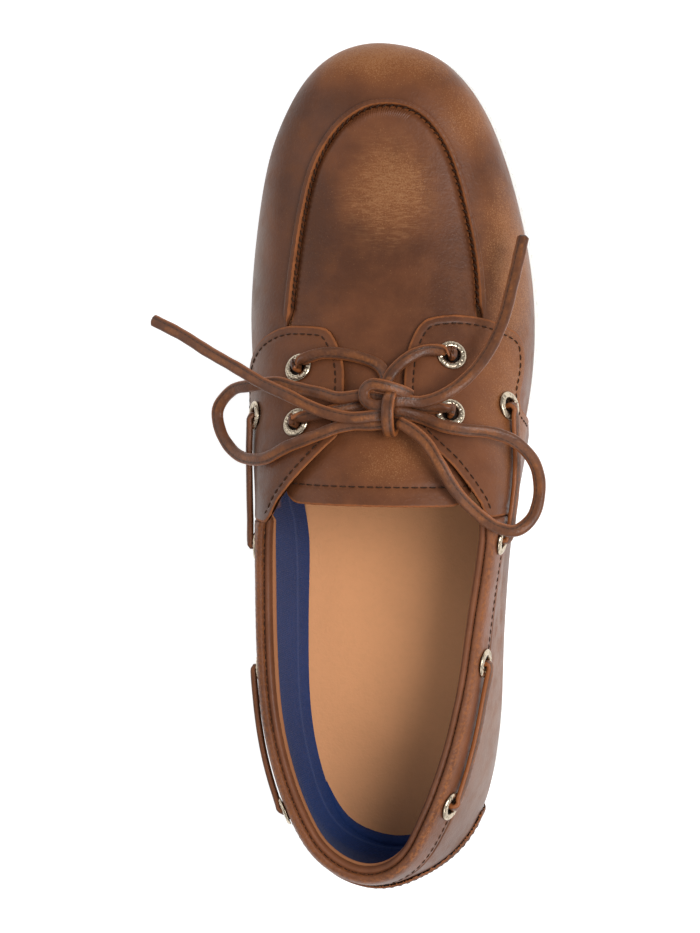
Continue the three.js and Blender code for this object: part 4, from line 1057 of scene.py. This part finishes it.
class Paint:
    """A material in the making: its tree, its shader, the object coordinates and the colour so far."""

    def __init__(self, name, colour, **inputs):
        self.material = bpy.data.materials.new(name)
        self.material.use_nodes = True
        self.tree = self.material.node_tree
        self.shader = self.tree.nodes["Principled BSDF"]
        self.place = self.tree.nodes.new("ShaderNodeTexCoord").outputs["Object"]
        self.colour = colour
        for key, value in inputs.items():
            feed(self.tree, self.shader.inputs[key.replace("_", " ")], value)

    def use(self, name, **inputs):
        """Places a shader group."""
        ins = {"Vector": self.place, **inputs}
        return node(self.tree, "ShaderNodeGroup", ins, node_tree=GROUPS[name]).outputs[0]

    def mottle(self, scale, low, high):
        """Clouds at a scale, from 0 where the noise is low to 1 where it is high."""
        return self.use("Mottle", Scale=scale, Low=low, High=high)

    def noise(self, scale, detail, roughness=0.5):
        """Plain noise."""
        return noise_node(self.tree, self.place, scale, detail, roughness)["Fac"]

    def value(self, name):
        """A value kept on the mesh."""
        return node(self.tree, "ShaderNodeAttribute", attribute_name=name).outputs["Fac"]

    def math(self, operation, *values):
        """The result of a Math node."""
        return math_node(self.tree, operation, *values)

    def times(self, one, two):
        """The product of two values."""
        return self.math("MULTIPLY", one, two)

    def ramp(self, *values):
        """Smooth map of a value."""
        return ramp(self.tree, *values)

    def near(self, value, centre):
        """How far a value is from a centre."""
        return self.math("ABSOLUTE", self.math("SUBTRACT", value, centre))

    def between(self, factor, below, above):
        """Straight mix of two numbers by a factor."""
        ins = {0: factor, 2: below, 3: above}
        return node(self.tree, "ShaderNodeMix", ins, data_type="FLOAT").outputs[0]

    def lay(self, mask, colour, share=1.0):
        """Lays a share of a colour over what is there, where the mask says."""
        factor = mask if share == 1.0 else self.times(mask, share)
        ins = {0: factor, 6: self.colour, 7: colour}
        self.colour = node(self.tree, "ShaderNodeMix", ins, data_type="RGBA").outputs[2]

    def done(self, *bumps, roughness=None):
        """Links colour and roughness, and stacks the bumps (height, distance, strength)."""
        self.tree.links.new(self.colour, self.shader.inputs["Base Color"])
        if roughness is not None:
            self.tree.links.new(roughness, self.shader.inputs["Roughness"])
        link = {}
        for height, distance, strength in bumps:
            ins = {"Height": height, "Distance": distance, "Strength": strength, **link}
            link = {"Normal": node(self.tree, "ShaderNodeBump", ins).outputs["Normal"]}
        for key, value in link.items():
            self.tree.links.new(value, self.shader.inputs[key])
        return self.material


def shade(colour, share):
    """A colour made darker or lighter by a share."""
    return [part * share for part in colour]


def leather(name, base, spots=(), sheen_stain_and_shadow_patches=(), crown=False, cracks=None):
    """Waxed pull-up leather: clouds of tone, burnished spots, painted grey sheen, dark stains and painted
    shadow, painted shade in eyelet pits, scuffs, raw edges, grain.
    """
    c = bpy.context.scene.shoe_colours
    p = Paint(name, base, Roughness=0.46, Specular_IOR_Level=0.25, Coat_Weight=0.05, Coat_Roughness=0.36)
    small = p.mottle(120.0, 0.36, 0.76)
    p.lay(p.mottle(21.0, 0.36, 0.66), c.leather_dark, 0.9)
    p.lay(small, c.burnish_and_highlight, 0.16)
    burnt = None
    for centre, size, strength in spots:
        mask = p.times(p.use("Spot", Centre=centre, Size=size), strength)
        burnt = mask if burnt is None else p.math("MAXIMUM", burnt, mask)
    # Patches laid over the colour: painted grey sheen, dark stains and painted shadow.
    for centre, size, tone, strength in sheen_stain_and_shadow_patches:
        p.lay(p.use("Spot", Centre=centre, Size=size), tone, strength)
    if burnt is not None:
        p.lay(burnt, c.burnish_and_highlight, 0.62)
        p.lay(p.use("Scuffs", Amount=burnt, Scale=2300.0), c.scuff, 0.50)
    if crown:
        p.lay(p.times(p.value("rub"), p.mottle(900.0, 0.42, 0.62)), c.burnish_and_highlight, 0.8)
        p.lay(p.value("tan"), c.tan_edge)
    cut = p.use("Cut edge", Distance=p.value("edge"), Width=0.62)
    p.lay(p.times(cut, p.between(p.mottle(260.0, 0.30, 0.62), 0.45, 1.0)), c.raw_edge)
    # Painted shade: the leather in an eyelet's pit is laid near black, for the shade inside the eyelet's
    # hole.
    p.lay(p.value("pit"), (0.012, 0.008, 0.006))
    bumps = [(p.use("Hide grain", Scale=1050.0), 0.00022, 0.34), (p.noise(260.0, 6.0, 0.62), 0.0009, 0.16)]
    if cracks:
        centre, size, stretch = cracks
        mask = p.use("Spot", Centre=centre, Size=size)
        long = node(p.tree, "ShaderNodeMapping", {"Vector": p.place, "Scale": stretch}).outputs[0]
        lines = noise_node(p.tree, long, 1.0, 4.0, 0.6)["Fac"]
        bumps.append((p.times(lines, mask), 0.0009, 0.5))
        p.lay(p.times(p.ramp(lines, 0.46, 0.62), mask), c.scuff, 0.40)
    if crown:
        bumps.append((p.times(p.noise(620.0, 4.0, 0.7), p.value("crown")), 0.0012, 0.5))
    return p.done(*bumps, roughness=p.between(cut, p.ramp(small, 0.0, 1.0, 0.40, 0.55), 0.78))


def rawhide():
    """Oiled rawhide: brown faces with a painted highlight streak along their middle, one raw orange edge with
    a dark stitched line beside it, cracked sheen.
    """
    c = bpy.context.scene.shoe_colours
    p = Paint("rawhide_lace", c.lace, Roughness=0.42, Specular_IOR_Level=0.32, Coat_Weight=0.06,
              Coat_Roughness=0.3)
    across = p.value("across")
    p.lay(p.mottle(150.0, 0.36, 0.66), c.lace_dark, 0.65)
    fleck = p.mottle(900.0, 0.45, 0.70)
    # Painted highlight: a streak of the burnish colour along the middle of each face, where the gloss catches
    # the light.
    middle = p.ramp(p.near(across, -0.15), 0.15, 0.65, 1.0, 0.0)
    worn = p.times(p.times(middle, p.mottle(90.0, 0.42, 0.60)), p.math("MULTIPLY_ADD", fleck, 0.5, 0.35))
    p.lay(worn, c.burnish_and_highlight)
    back = p.times(p.ramp(across, -0.93, -0.99), 0.5)
    p.lay(p.math("MAXIMUM", p.ramp(across, 0.70, 0.92), back), c.raw_edge)
    line = p.ramp(p.near(across, 0.44), 0.05, 0.15, 1.0, 0.0)
    dash = p.ramp(p.math("SINE", p.times(p.value("run"), 2 * math.pi / LACE_STITCH)), -0.5, 0.1)
    p.lay(p.times(line, p.between(dash, 0.45, 0.9)), c.thread)
    grain = p.use("Hide grain", Scale=1500.0)
    return p.done((grain, 0.00022, 0.5), (p.times(line, dash), 0.0004, -0.6),
                  roughness=p.ramp(fleck, 0.0, 1.0, 0.36, 0.56))


def thread_material(name, colour):
    """Waxed thread: a fine twist of light and dark."""
    p = Paint(name, shade(colour, 0.55), Roughness=0.62, Specular_IOR_Level=0.2)
    twist = p.mottle(1400.0, 0.3, 0.7)
    p.lay(twist, colour)
    return p.done((twist, 0.0003, 0.5))


def footbed_material():
    """Natural tan leather: pale, with faint pores, rubbed tone and painted shade along its rim, where it
    meets the wall.
    """
    tan = bpy.context.scene.shoe_colours.footbed
    p = Paint("footbed_leather", tan, Roughness=0.6, Specular_IOR_Level=0.28, Sheen_Weight=0.05)
    small = p.mottle(420.0, 0.42, 0.70)
    p.lay(p.mottle(22.0, 0.35, 0.68), shade(tan, 0.94))
    p.lay(small, shade(tan, 0.72), 0.09)
    # Painted shade: darker within about 2 mm of the rim, in the corner against the wall.
    p.lay(p.ramp(p.value("edge"), 0.3, 2.2, 0.45, 0.0), shade(tan, 0.5))
    return p.done((p.use("Hide grain", Scale=1300.0), 0.0002, 0.28), (small, 0.0004, 0.12))


def lining_material():
    """Navy microfibre: a short nap with a fine weave, lighter along its welt, tan under the collar."""
    c = bpy.context.scene.shoe_colours
    p = Paint("navy_lining", c.lining, Roughness=0.8, Specular_IOR_Level=0.2, Sheen_Weight=0.08,
              Sheen_Roughness=0.5)
    nap = p.mottle(700.0, 0.35, 0.68)
    p.lay(nap, shade(c.lining, 1.5), 0.3)
    p.lay(p.mottle(45.0, 0.35, 0.70), shade(c.lining, 0.6), 0.3)
    p.lay(p.value("welt"), (0.16, 0.22, 0.42), 0.5)
    p.lay(p.value("bind"), c.tan_edge)
    ins = {"Vector": p.place, "Scale": 420.0, "Distortion": 0.6}
    weave = [node(p.tree, "ShaderNodeTexWave", ins, bands_direction=way).outputs["Fac"] for way in ("Y", "Z")]
    return p.done((p.math("ADD", *weave), 0.00018, 0.4), (nap, 0.0003, 0.3))


def rubber_material():
    """Off-white moulded rubber: faintly mottled, dull, with mould texture on its sides."""
    white = bpy.context.scene.shoe_colours.rubber
    p = Paint("white_rubber", white, Roughness=0.62, Specular_IOR_Level=0.35, Subsurface_Weight=0.03)
    p.lay(p.mottle(60.0, 0.35, 0.7), shade(white, 0.9), 0.5)
    p.lay(p.mottle(900.0, 0.55, 0.75), (0.45, 0.40, 0.33), 0.18)
    return p.done((p.noise(1600.0, 3.0), 0.0003, 0.25))


def metal_material():
    """Antique nickel-brass: brushed, darker in the notches, with worn high points."""
    metal = bpy.context.scene.shoe_colours.metal
    p = Paint("eyelet_metal", metal, Roughness=0.3, Metallic=1.0)
    tarnish = p.mottle(420.0, 0.40, 0.70)
    p.lay(tarnish, shade(metal, 0.5), 0.45)
    p.lay(p.ramp(p.value("work"), -0.15, -0.75), (0.10, 0.075, 0.045), 0.75)
    return p.done((p.noise(2200.0, 3.0), 0.0002, 0.2), roughness=p.ramp(tarnish, 0.0, 1.0, 0.22, 0.42))


def floor_material():
    """A plain white paper ground, faintly uneven."""
    p = Paint("white_ground", (0.40, 0.40, 0.40), Roughness=0.9, Specular_IOR_Level=0.1,
              Emission_Color=(1.0, 1.0, 1.0), Emission_Strength=0.82)
    p.lay(p.noise(3.0, 2.0), (0.44, 0.44, 0.44))
    return p.done()


# Centres and sizes in metres of the worn places, the painted grey sheens, the stains and a painted shadow,
# with their tones and strengths
# Dark tone of the stains, also laid as painted shadow on the tongue beside the inner flare and under the lace
# loop.
STAIN_AND_SHADOW_TONE = (0.060, 0.020, 0.009)
TOE_SPOTS = (((-0.006, 0.144, 0.028), (0.050, 0.017, 0.030), 1.0),
             ((0.030, 0.124, 0.033), (0.018, 0.022, 0.028), 0.7),
             ((0.048, 0.078, 0.036), (0.019, 0.062, 0.034), 1.0),
             ((0.046, -0.040, 0.045), (0.02, 0.05, 0.03), 0.5))
# Painted grey sheen on the left wall of the vamp, then two dark stains.
TOE_SHEEN_AND_STAINS = (((-0.052, 0.060, 0.03), (0.018, 0.070, 0.032), (0.26, 0.21, 0.17), 0.40),
             ((-0.014, 0.127, 0.036), (0.028, 0.009, 0.03), STAIN_AND_SHADOW_TONE, 0.50),
             ((-0.036, 0.060, 0.03), (0.009, 0.060, 0.03), STAIN_AND_SHADOW_TONE, 0.45))
PLUG_SPOTS = (((0.003, 0.098, 0.046), (0.021, 0.024, 0.03), 0.80),
              ((0.012, 0.006, 0.075), (0.024, 0.014, 0.03), 0.62))
# Two dark stains on the plug, then painted shadow on the tongue beside the inner flare and under the lace
# loop.
PLUG_STAINS_AND_SHADOW = (((-0.024, 0.078, 0.044), (0.011, 0.048, 0.03), STAIN_AND_SHADOW_TONE, 0.55),
              ((0.004, 0.066, 0.048), (0.030, 0.010, 0.03), STAIN_AND_SHADOW_TONE, 0.15),
              ((-0.020, 0.008, 0.072), (0.014, 0.014, 0.03), STAIN_AND_SHADOW_TONE, 0.5))
PLUG_CRACKS = ((0.003, 0.096, 0.046), (0.022, 0.026, 0.03), (260.0, 1500.0, 420.0))
QUARTER_SPOTS = (((0.050, 0.030, 0.05), (0.02, 0.05, 0.04), 0.7),
                 ((0.045, -0.060, 0.04), (0.02, 0.06, 0.03), 0.45))
# Painted pinkish grey sheen on the right rear wall and painted grey sheen on the left wall.
QUARTER_SHEENS = (((0.038, -0.100, 0.045), (0.03, 0.05, 0.04), (0.34, 0.22, 0.17), 0.5),
                 ((-0.05, 0.0, 0.05), (0.02, 0.09, 0.05), (0.26, 0.20, 0.16), 0.4))


def make_materials():
    """All shader groups and materials."""
    c = bpy.context.scene.shoe_colours
    for maker in (mottle_group, grain_group, scuff_group, spot_group, cut_group):
        made = maker()
        GROUPS[made.name] = made
    MATERIALS.update({
        "vamp": leather("vamp_pull_up", c.leather, TOE_SPOTS, TOE_SHEEN_AND_STAINS),
        "plug": leather("plug_pull_up", c.leather, PLUG_SPOTS, PLUG_STAINS_AND_SHADOW, cracks=PLUG_CRACKS),
        "quarter": leather("quarter_pull_up", c.leather, QUARTER_SPOTS, QUARTER_SHEENS),
        "collar": leather("collar_pull_up", c.collar, crown=True),
        "lace": rawhide(),
        "thread": thread_material("brown_thread", c.thread),
        "sole_thread": thread_material("sole_thread", (0.62, 0.54, 0.42)),
        "footbed": footbed_material(),
        "lining": lining_material(),
        "rubber": rubber_material(),
        "metal": metal_material(),
    })


# Settings, operators and panel

def size_of(label, text, default):
    """A length in millimetres that a user may change."""
    return FloatProperty(name=label, description=text, default=default, min=0.05, max=20.0,
                         subtype="DISTANCE_CAMERA")


def tint(label, text, default):
    """A colour that a user may change."""
    return FloatVectorProperty(name=label, description=text, default=default, subtype="COLOR", min=0.0,
                               max=1.0)


class ShoeSizes(bpy.types.PropertyGroup):
    """Sizes of the lace and the stitching."""
    lace_width: size_of("Lace width", "Width of the rawhide lace in millimetres", 4.2)
    lace_thickness: size_of("Lace thickness", "Thickness of the lace in millimetres", 2.4)
    stitch: size_of("Stitch", "Length of one stitch in millimetres", 2.2)
    stitch_gap: size_of("Stitch gap", "Gap between stitches in millimetres", 0.7)
    thread: size_of("Thread", "Radius of the thread in millimetres", 0.24)


class ShoeColours(bpy.types.PropertyGroup):
    """Colours of the leathers, the lace, the lining, the sole and the metal."""
    leather: tint("Leather", "Main brown of the waxed leather", (0.168, 0.057, 0.023))
    leather_dark: tint("Dark leather", "Deep brown of the clouds", (0.088, 0.030, 0.013))
    collar: tint("Collar", "Brown of the collar", (0.215, 0.076, 0.034))
    # Also laid along the lace's faces as a painted highlight streak.
    burnish_and_highlight: tint("Burnish", "Orange brown where the wax has pulled up", (0.330, 0.112, 0.030))
    scuff: tint("Scuff", "Light specks of lifted wax", (0.42, 0.20, 0.085))
    raw_edge: tint("Raw edge", "Cut edges of the leather", (0.300, 0.095, 0.027))
    tan_edge: tint("Tan edge", "Binding inside the collar", (0.42, 0.175, 0.080))
    thread: tint("Thread", "Dark brown thread", (0.055, 0.024, 0.012))
    lace: tint("Lace", "Brown of the rawhide", (0.150, 0.052, 0.020))
    lace_dark: tint("Dark lace", "Dark brown of the rawhide", (0.075, 0.028, 0.014))
    footbed: tint("Footbed", "Natural tan leather", (0.92, 0.425, 0.190))
    lining: tint("Lining", "Navy of the lining", (0.020, 0.048, 0.170))
    rubber: tint("Rubber", "Off-white rubber", (0.92, 0.91, 0.88))
    metal: tint("Metal", "Nickel-brass of the eyelets", (0.62, 0.52, 0.39))


class SHOE_OT_camera(bpy.types.Operator):
    """Set the camera to the photograph's angle"""
    bl_idname = "shoe.camera"
    bl_label = "Camera"

    def execute(self, context):
        data = bpy.data.cameras.new("camera")
        data.lens = 108.46
        data.clip_start = 0.05
        camera = bpy.data.objects.new("camera", data)
        context.scene.collection.objects.link(camera)
        eye = Vector((0.22524, 0.10044, 0.99529))
        look = Vector((-0.01543, -0.00102, 0.030))
        back = (eye - look).normalized()
        right = Vector((0, 1, 0)).cross(back).normalized()
        axes = Matrix((right, back.cross(right), back)).transposed()
        camera.matrix_world = Matrix.Translation(eye) @ axes.to_4x4()
        context.scene.camera = camera
        return {"FINISHED"}


def lay_cord(name, points, facing, step=0.8, mirror=1.0):
    """One free stretch of the lace."""
    sizes = bpy.context.scene.shoe_sizes
    wide = sizes.lace_width
    piece, line = strand(f"{name}_strand", points, facing, wide, sizes.lace_thickness, step, mirror)
    finish(piece, MATERIALS["lace"], "lace", name)


class SHOE_OT_cords(bpy.types.Operator):
    """Lay the knot, the two bow loops and the two free ends of the lace"""
    bl_idname = "shoe.cords"
    bl_label = "Free lace"

    def execute(self, context):
        for name, points in LOOSE.items():
            mirror = -1.0 if name == "lace_end_outer" else 1.0
            lay_cord(name, points, [UP] * len(points), mirror=mirror)
        outward = [unit(np.subtract(p, KNOT_CENTRE)) for p in KNOT]
        lay_cord("lace_knot", KNOT, outward, 0.5)
        sizes = context.scene.shoe_sizes
        hook, _ = strand("lace_hook_strand", HOOK, HOOK_FACING, sizes.lace_width, sizes.lace_thickness, 0.5)
        finish(hook, MATERIALS["lace"], "lace")
        return {"FINISHED"}


class SHOE_OT_sole(bpy.types.Operator):
    """Make the rubber sole and the thread round its side"""
    bl_idname = "shoe.sole"
    bl_label = "Sole"

    def execute(self, context):
        finish(sole_body(), MATERIALS["rubber"], "sole", "outsole")
        finish(build("sole_side_stitching", *sole_stitching()), MATERIALS["sole_thread"], "sole")
        return {"FINISHED"}


class SHOE_OT_upper(bpy.types.Operator):
    """Make the vamp, the plug with its tongue, both quarters and the heel patch"""
    bl_idname = "shoe.upper"
    bl_label = "Upper"

    def execute(self, context):
        finish(vamp_body(), MATERIALS["vamp"], "vamp_leather", "upper")
        finish(plug_body(), MATERIALS["plug"], "vamp_leather", "tongue")
        for side in ("outer", "inner"):
            finish(quarter_body(side), MATERIALS["quarter"], "quarter_leather", f"quarter_{side}")
        finish(heel_patch_body(), MATERIALS["quarter"], "quarter_leather", "heel_patch")
        return {"FINISHED"}


class SHOE_OT_collar(bpy.types.Operator):
    """Make the rolled collar"""
    bl_idname = "shoe.collar"
    bl_label = "Collar"

    def execute(self, context):
        finish(collar_body(), MATERIALS["collar"], "collar_leather", "collar_roll")
        return {"FINISHED"}


class SHOE_OT_inside(bpy.types.Operator):
    """Make the cloth lining and the footbed"""
    bl_idname = "shoe.inside"
    bl_label = "Inside"

    def execute(self, context):
        finish(lining_body(), MATERIALS["lining"], "footbed_leather")
        finish(insole_body(), MATERIALS["footbed"], "footbed_leather", "insole")
        return {"FINISHED"}


class SHOE_OT_eyelets(bpy.types.Operator):
    """Make the twelve metal eyelets"""
    bl_idname = "shoe.eyelets"
    bl_label = "Eyelets"

    def execute(self, context):
        for name in SEATS:
            finish(eyelet_body(name), MATERIALS["metal"], "eyelet_metal", name)
        return {"FINISHED"}


ARMS = {
    "one": ("eyelet_front_inner", "eyelet_rear_outer",
            ((-16, 41.5, 5.2), (-5, 41, 3.4), (5, 37.5, 2.6), (9, 31, 2.4), (14, 26.5, 4.6), (19, 25, 5.4))),
    "two": ("eyelet_front_outer", "eyelet_rear_inner",
            ((20, 43, 5), (14, 40, 5), (9.5, 35.5, 3.4), (7, 30, 3), (2, 26, 2.8), (-7, 23.5, 4.6),
             (-13, 22, 5.4))),
}


class SHOE_OT_laces(bpy.types.Operator):
    """Run the lace along the walls and from the eyelets to the knot"""
    bl_idname = "shoe.laces"
    bl_label = "Threaded lace"

    def execute(self, context):
        sizes = context.scene.shoe_sizes
        for side in ("outer", "inner"):
            for part, numbers in (("front", (1, 2)), ("rear", (3, 4))):
                name = f"lace_side_{part}_{side}"
                piece, _ = strand(f"{name}_strand", *side_run(side, numbers), 3.8, 2.3)
                finish(piece, MATERIALS["lace"], "lace", name)
        for label, arm in ARMS.items():
            route = crossing_arm(*arm)
            piece, _ = strand(f"lace_bar_{label}", *route, sizes.lace_width, sizes.lace_thickness)
            finish(piece, MATERIALS["lace"], "lace", *(("lace_crossing",) if label == "one" else ()))
        return {"FINISHED"}


def eyestay_seam(side, sizes):
    """The stitch row of one quarter: up its front edge and back along the eyestay and the flare."""
    low_a, low_t, high_a, high_t = quarter_edges(side)
    low, high = low_a > 8.35, high_a > COLLAR_END[side] + 0.05
    a = on_side(side, np.concatenate([low_a[low][::-1], high_a[high]]))
    t = np.concatenate([low_t[low][::-1], high_t[high]])
    keep = np.concatenate([[True], np.linalg.norm(np.diff(last(a, t), axis=0), axis=1) > 0.05])
    a, t = inset(a[keep], t[keep], 3.0 if side == "outer" else -3.0)
    return stitches(a, t, QUARTER_FACE - 0.2, *sizes)


def plug_seam():
    """The stitches in the groove round the plug."""
    a = np.linspace(10.2, 17, 300)
    places = np.concatenate([a, TURN - a[::-1][1:]])
    return stitches(places, edge_t(places) + SEAM, 0.0, 1.9, 0.5, 0.30, slant=1.3, arch=0.22)


def tongue_seam(side, low, sizes):
    """One half of the row across the tongue, from the eyestay to the crest."""
    return stitches(np.full(90, float(on_side(side, 7.42))), np.linspace(low, 0.9996, 90), -1.52, *sizes)


def collar_seams():
    """The row along the collar's band and the row on its inner ridge."""
    a = np.linspace(-COLLAR_END["inner"] + 0.05, COLLAR_END["outer"] - 0.05, 400)
    return (stitches(a, drop_t(a, 11.0), 2.1, 1.9, 0.7, 0.2),
            stitches(a, drop_t(a, 1.35), -1.08, 2.0, 0.8, 0.26, arch=0.1))


def patch_seam(sizes):
    """The row below the heel patch's hollow edge."""
    a = np.linspace(-2.15, 2.15, 260)
    t = level_t(a, last(a, cubic(PATCH_EDGE, np.abs(a)))[:, 2] - 2.7)
    return stitches(a, t, QUARTER_FACE + LEATHER - 0.42, *sizes, arch=0.08)


class SHOE_OT_stitching(bpy.types.Operator):
    """Sew the seams: plug, eyestays, tongue, collar band and heel patch"""
    bl_idname = "shoe.stitching"
    bl_label = "Stitching"

    def execute(self, context):
        given = context.scene.shoe_sizes
        sizes = (given.stitch, given.stitch_gap, given.thread)
        seams = (
            ("eyestay_stitching", "quarter_leather",
             [eyestay_seam(side, sizes) for side in ("outer", "inner")]),
            ("plug_stitching", "vamp_leather", [plug_seam()]),
            ("tongue_stitching", "vamp_leather",
             [tongue_seam("inner", 0.625, sizes), tongue_seam("outer", 0.57, sizes)]),
            ("collar_stitching", "collar_leather", collar_seams()),
            ("heel_patch_stitching", "quarter_leather", [patch_seam(sizes)]),
        )
        for name, slot, rows in seams:
            finish(build(name, *joined(rows)), MATERIALS["thread"], slot)
        return {"FINISHED"}


LAMPS = (("key", (0.78, 0.14, 1.08), 0.6, 10.8), ("fill", (-0.9, 0.3, 0.8), 0.9, 2.6),
         ("heel", (0.3, -0.9, 0.9), 0.7, 3.0))


class SHOE_OT_stage(bpy.types.Operator):
    """Lay the white ground and set the soft studio light"""
    bl_idname = "shoe.stage"
    bl_label = "Stage"

    def execute(self, context):
        corners = [(x, y, -0.00005) for x, y in ((-3, -3), (3, -3), (3, 3), (-3, 3))]
        mesh = bpy.data.meshes.new("ground")
        mesh.from_pydata(corners, [], [(0, 1, 2, 3)])
        ground = bpy.data.objects.new("ground", mesh)
        context.scene.collection.objects.link(ground)
        mesh.materials.append(floor_material())
        world = bpy.data.worlds.new("studio")
        world.use_nodes = True
        sky = world.node_tree.nodes["Background"].inputs
        sky["Color"].default_value = (1.0, 1.0, 1.0, 1.0)
        sky["Strength"].default_value = 0.35
        context.scene.world = world
        context.scene.view_settings.view_transform = "Standard"
        for name, place, size, power in LAMPS:
            data = bpy.data.lights.new(name, "AREA")
            data.shape, data.size, data.energy = "SQUARE", size, power
            lamp = bpy.data.objects.new(name, data)
            lamp.location = place
            lamp.rotation_euler = (Vector((0, 0, 0.03)) - Vector(place)).to_track_quat("-Z", "Y").to_euler()
            context.scene.collection.objects.link(lamp)
        return {"FINISHED"}


OPERATORS = (SHOE_OT_camera, SHOE_OT_cords, SHOE_OT_sole, SHOE_OT_upper, SHOE_OT_collar, SHOE_OT_inside,
             SHOE_OT_eyelets, SHOE_OT_laces, SHOE_OT_stitching, SHOE_OT_stage)


class SHOE_PT_panel(bpy.types.Panel):
    """Lists the shoe's pieces and settings"""
    bl_label = "Boat shoe"
    bl_idname = "SHOE_PT_panel"
    bl_space_type = "VIEW_3D"
    bl_region_type = "UI"
    bl_category = "Shoe"

    def draw(self, context):
        for operator in OPERATORS:
            self.layout.operator(operator.bl_idname)
        for group_of in (context.scene.shoe_sizes, context.scene.shoe_colours):
            for key in group_of.__annotations__:
                self.layout.prop(group_of, key)


CLASSES = (ShoeSizes, ShoeColours, *OPERATORS, SHOE_PT_panel)


def register():
    """Registers the classes and hangs the settings on the scene."""
    for item in CLASSES:
        bpy.utils.register_class(item)
    bpy.types.Scene.shoe_sizes = PointerProperty(type=ShoeSizes)
    bpy.types.Scene.shoe_colours = PointerProperty(type=ShoeColours)


def unregister():
    """Takes the settings and the classes away again."""
    del bpy.types.Scene.shoe_colours
    del bpy.types.Scene.shoe_sizes
    for item in reversed(CLASSES):
        bpy.utils.unregister_class(item)


def main():
    """Registers, makes the materials and makes the pieces in order."""
    register()
    make_materials()
    for operator in OPERATORS:
        area, name = operator.bl_idname.split(".")
        getattr(getattr(bpy.ops, area), name)()


if __name__ == "__main__":
    main()
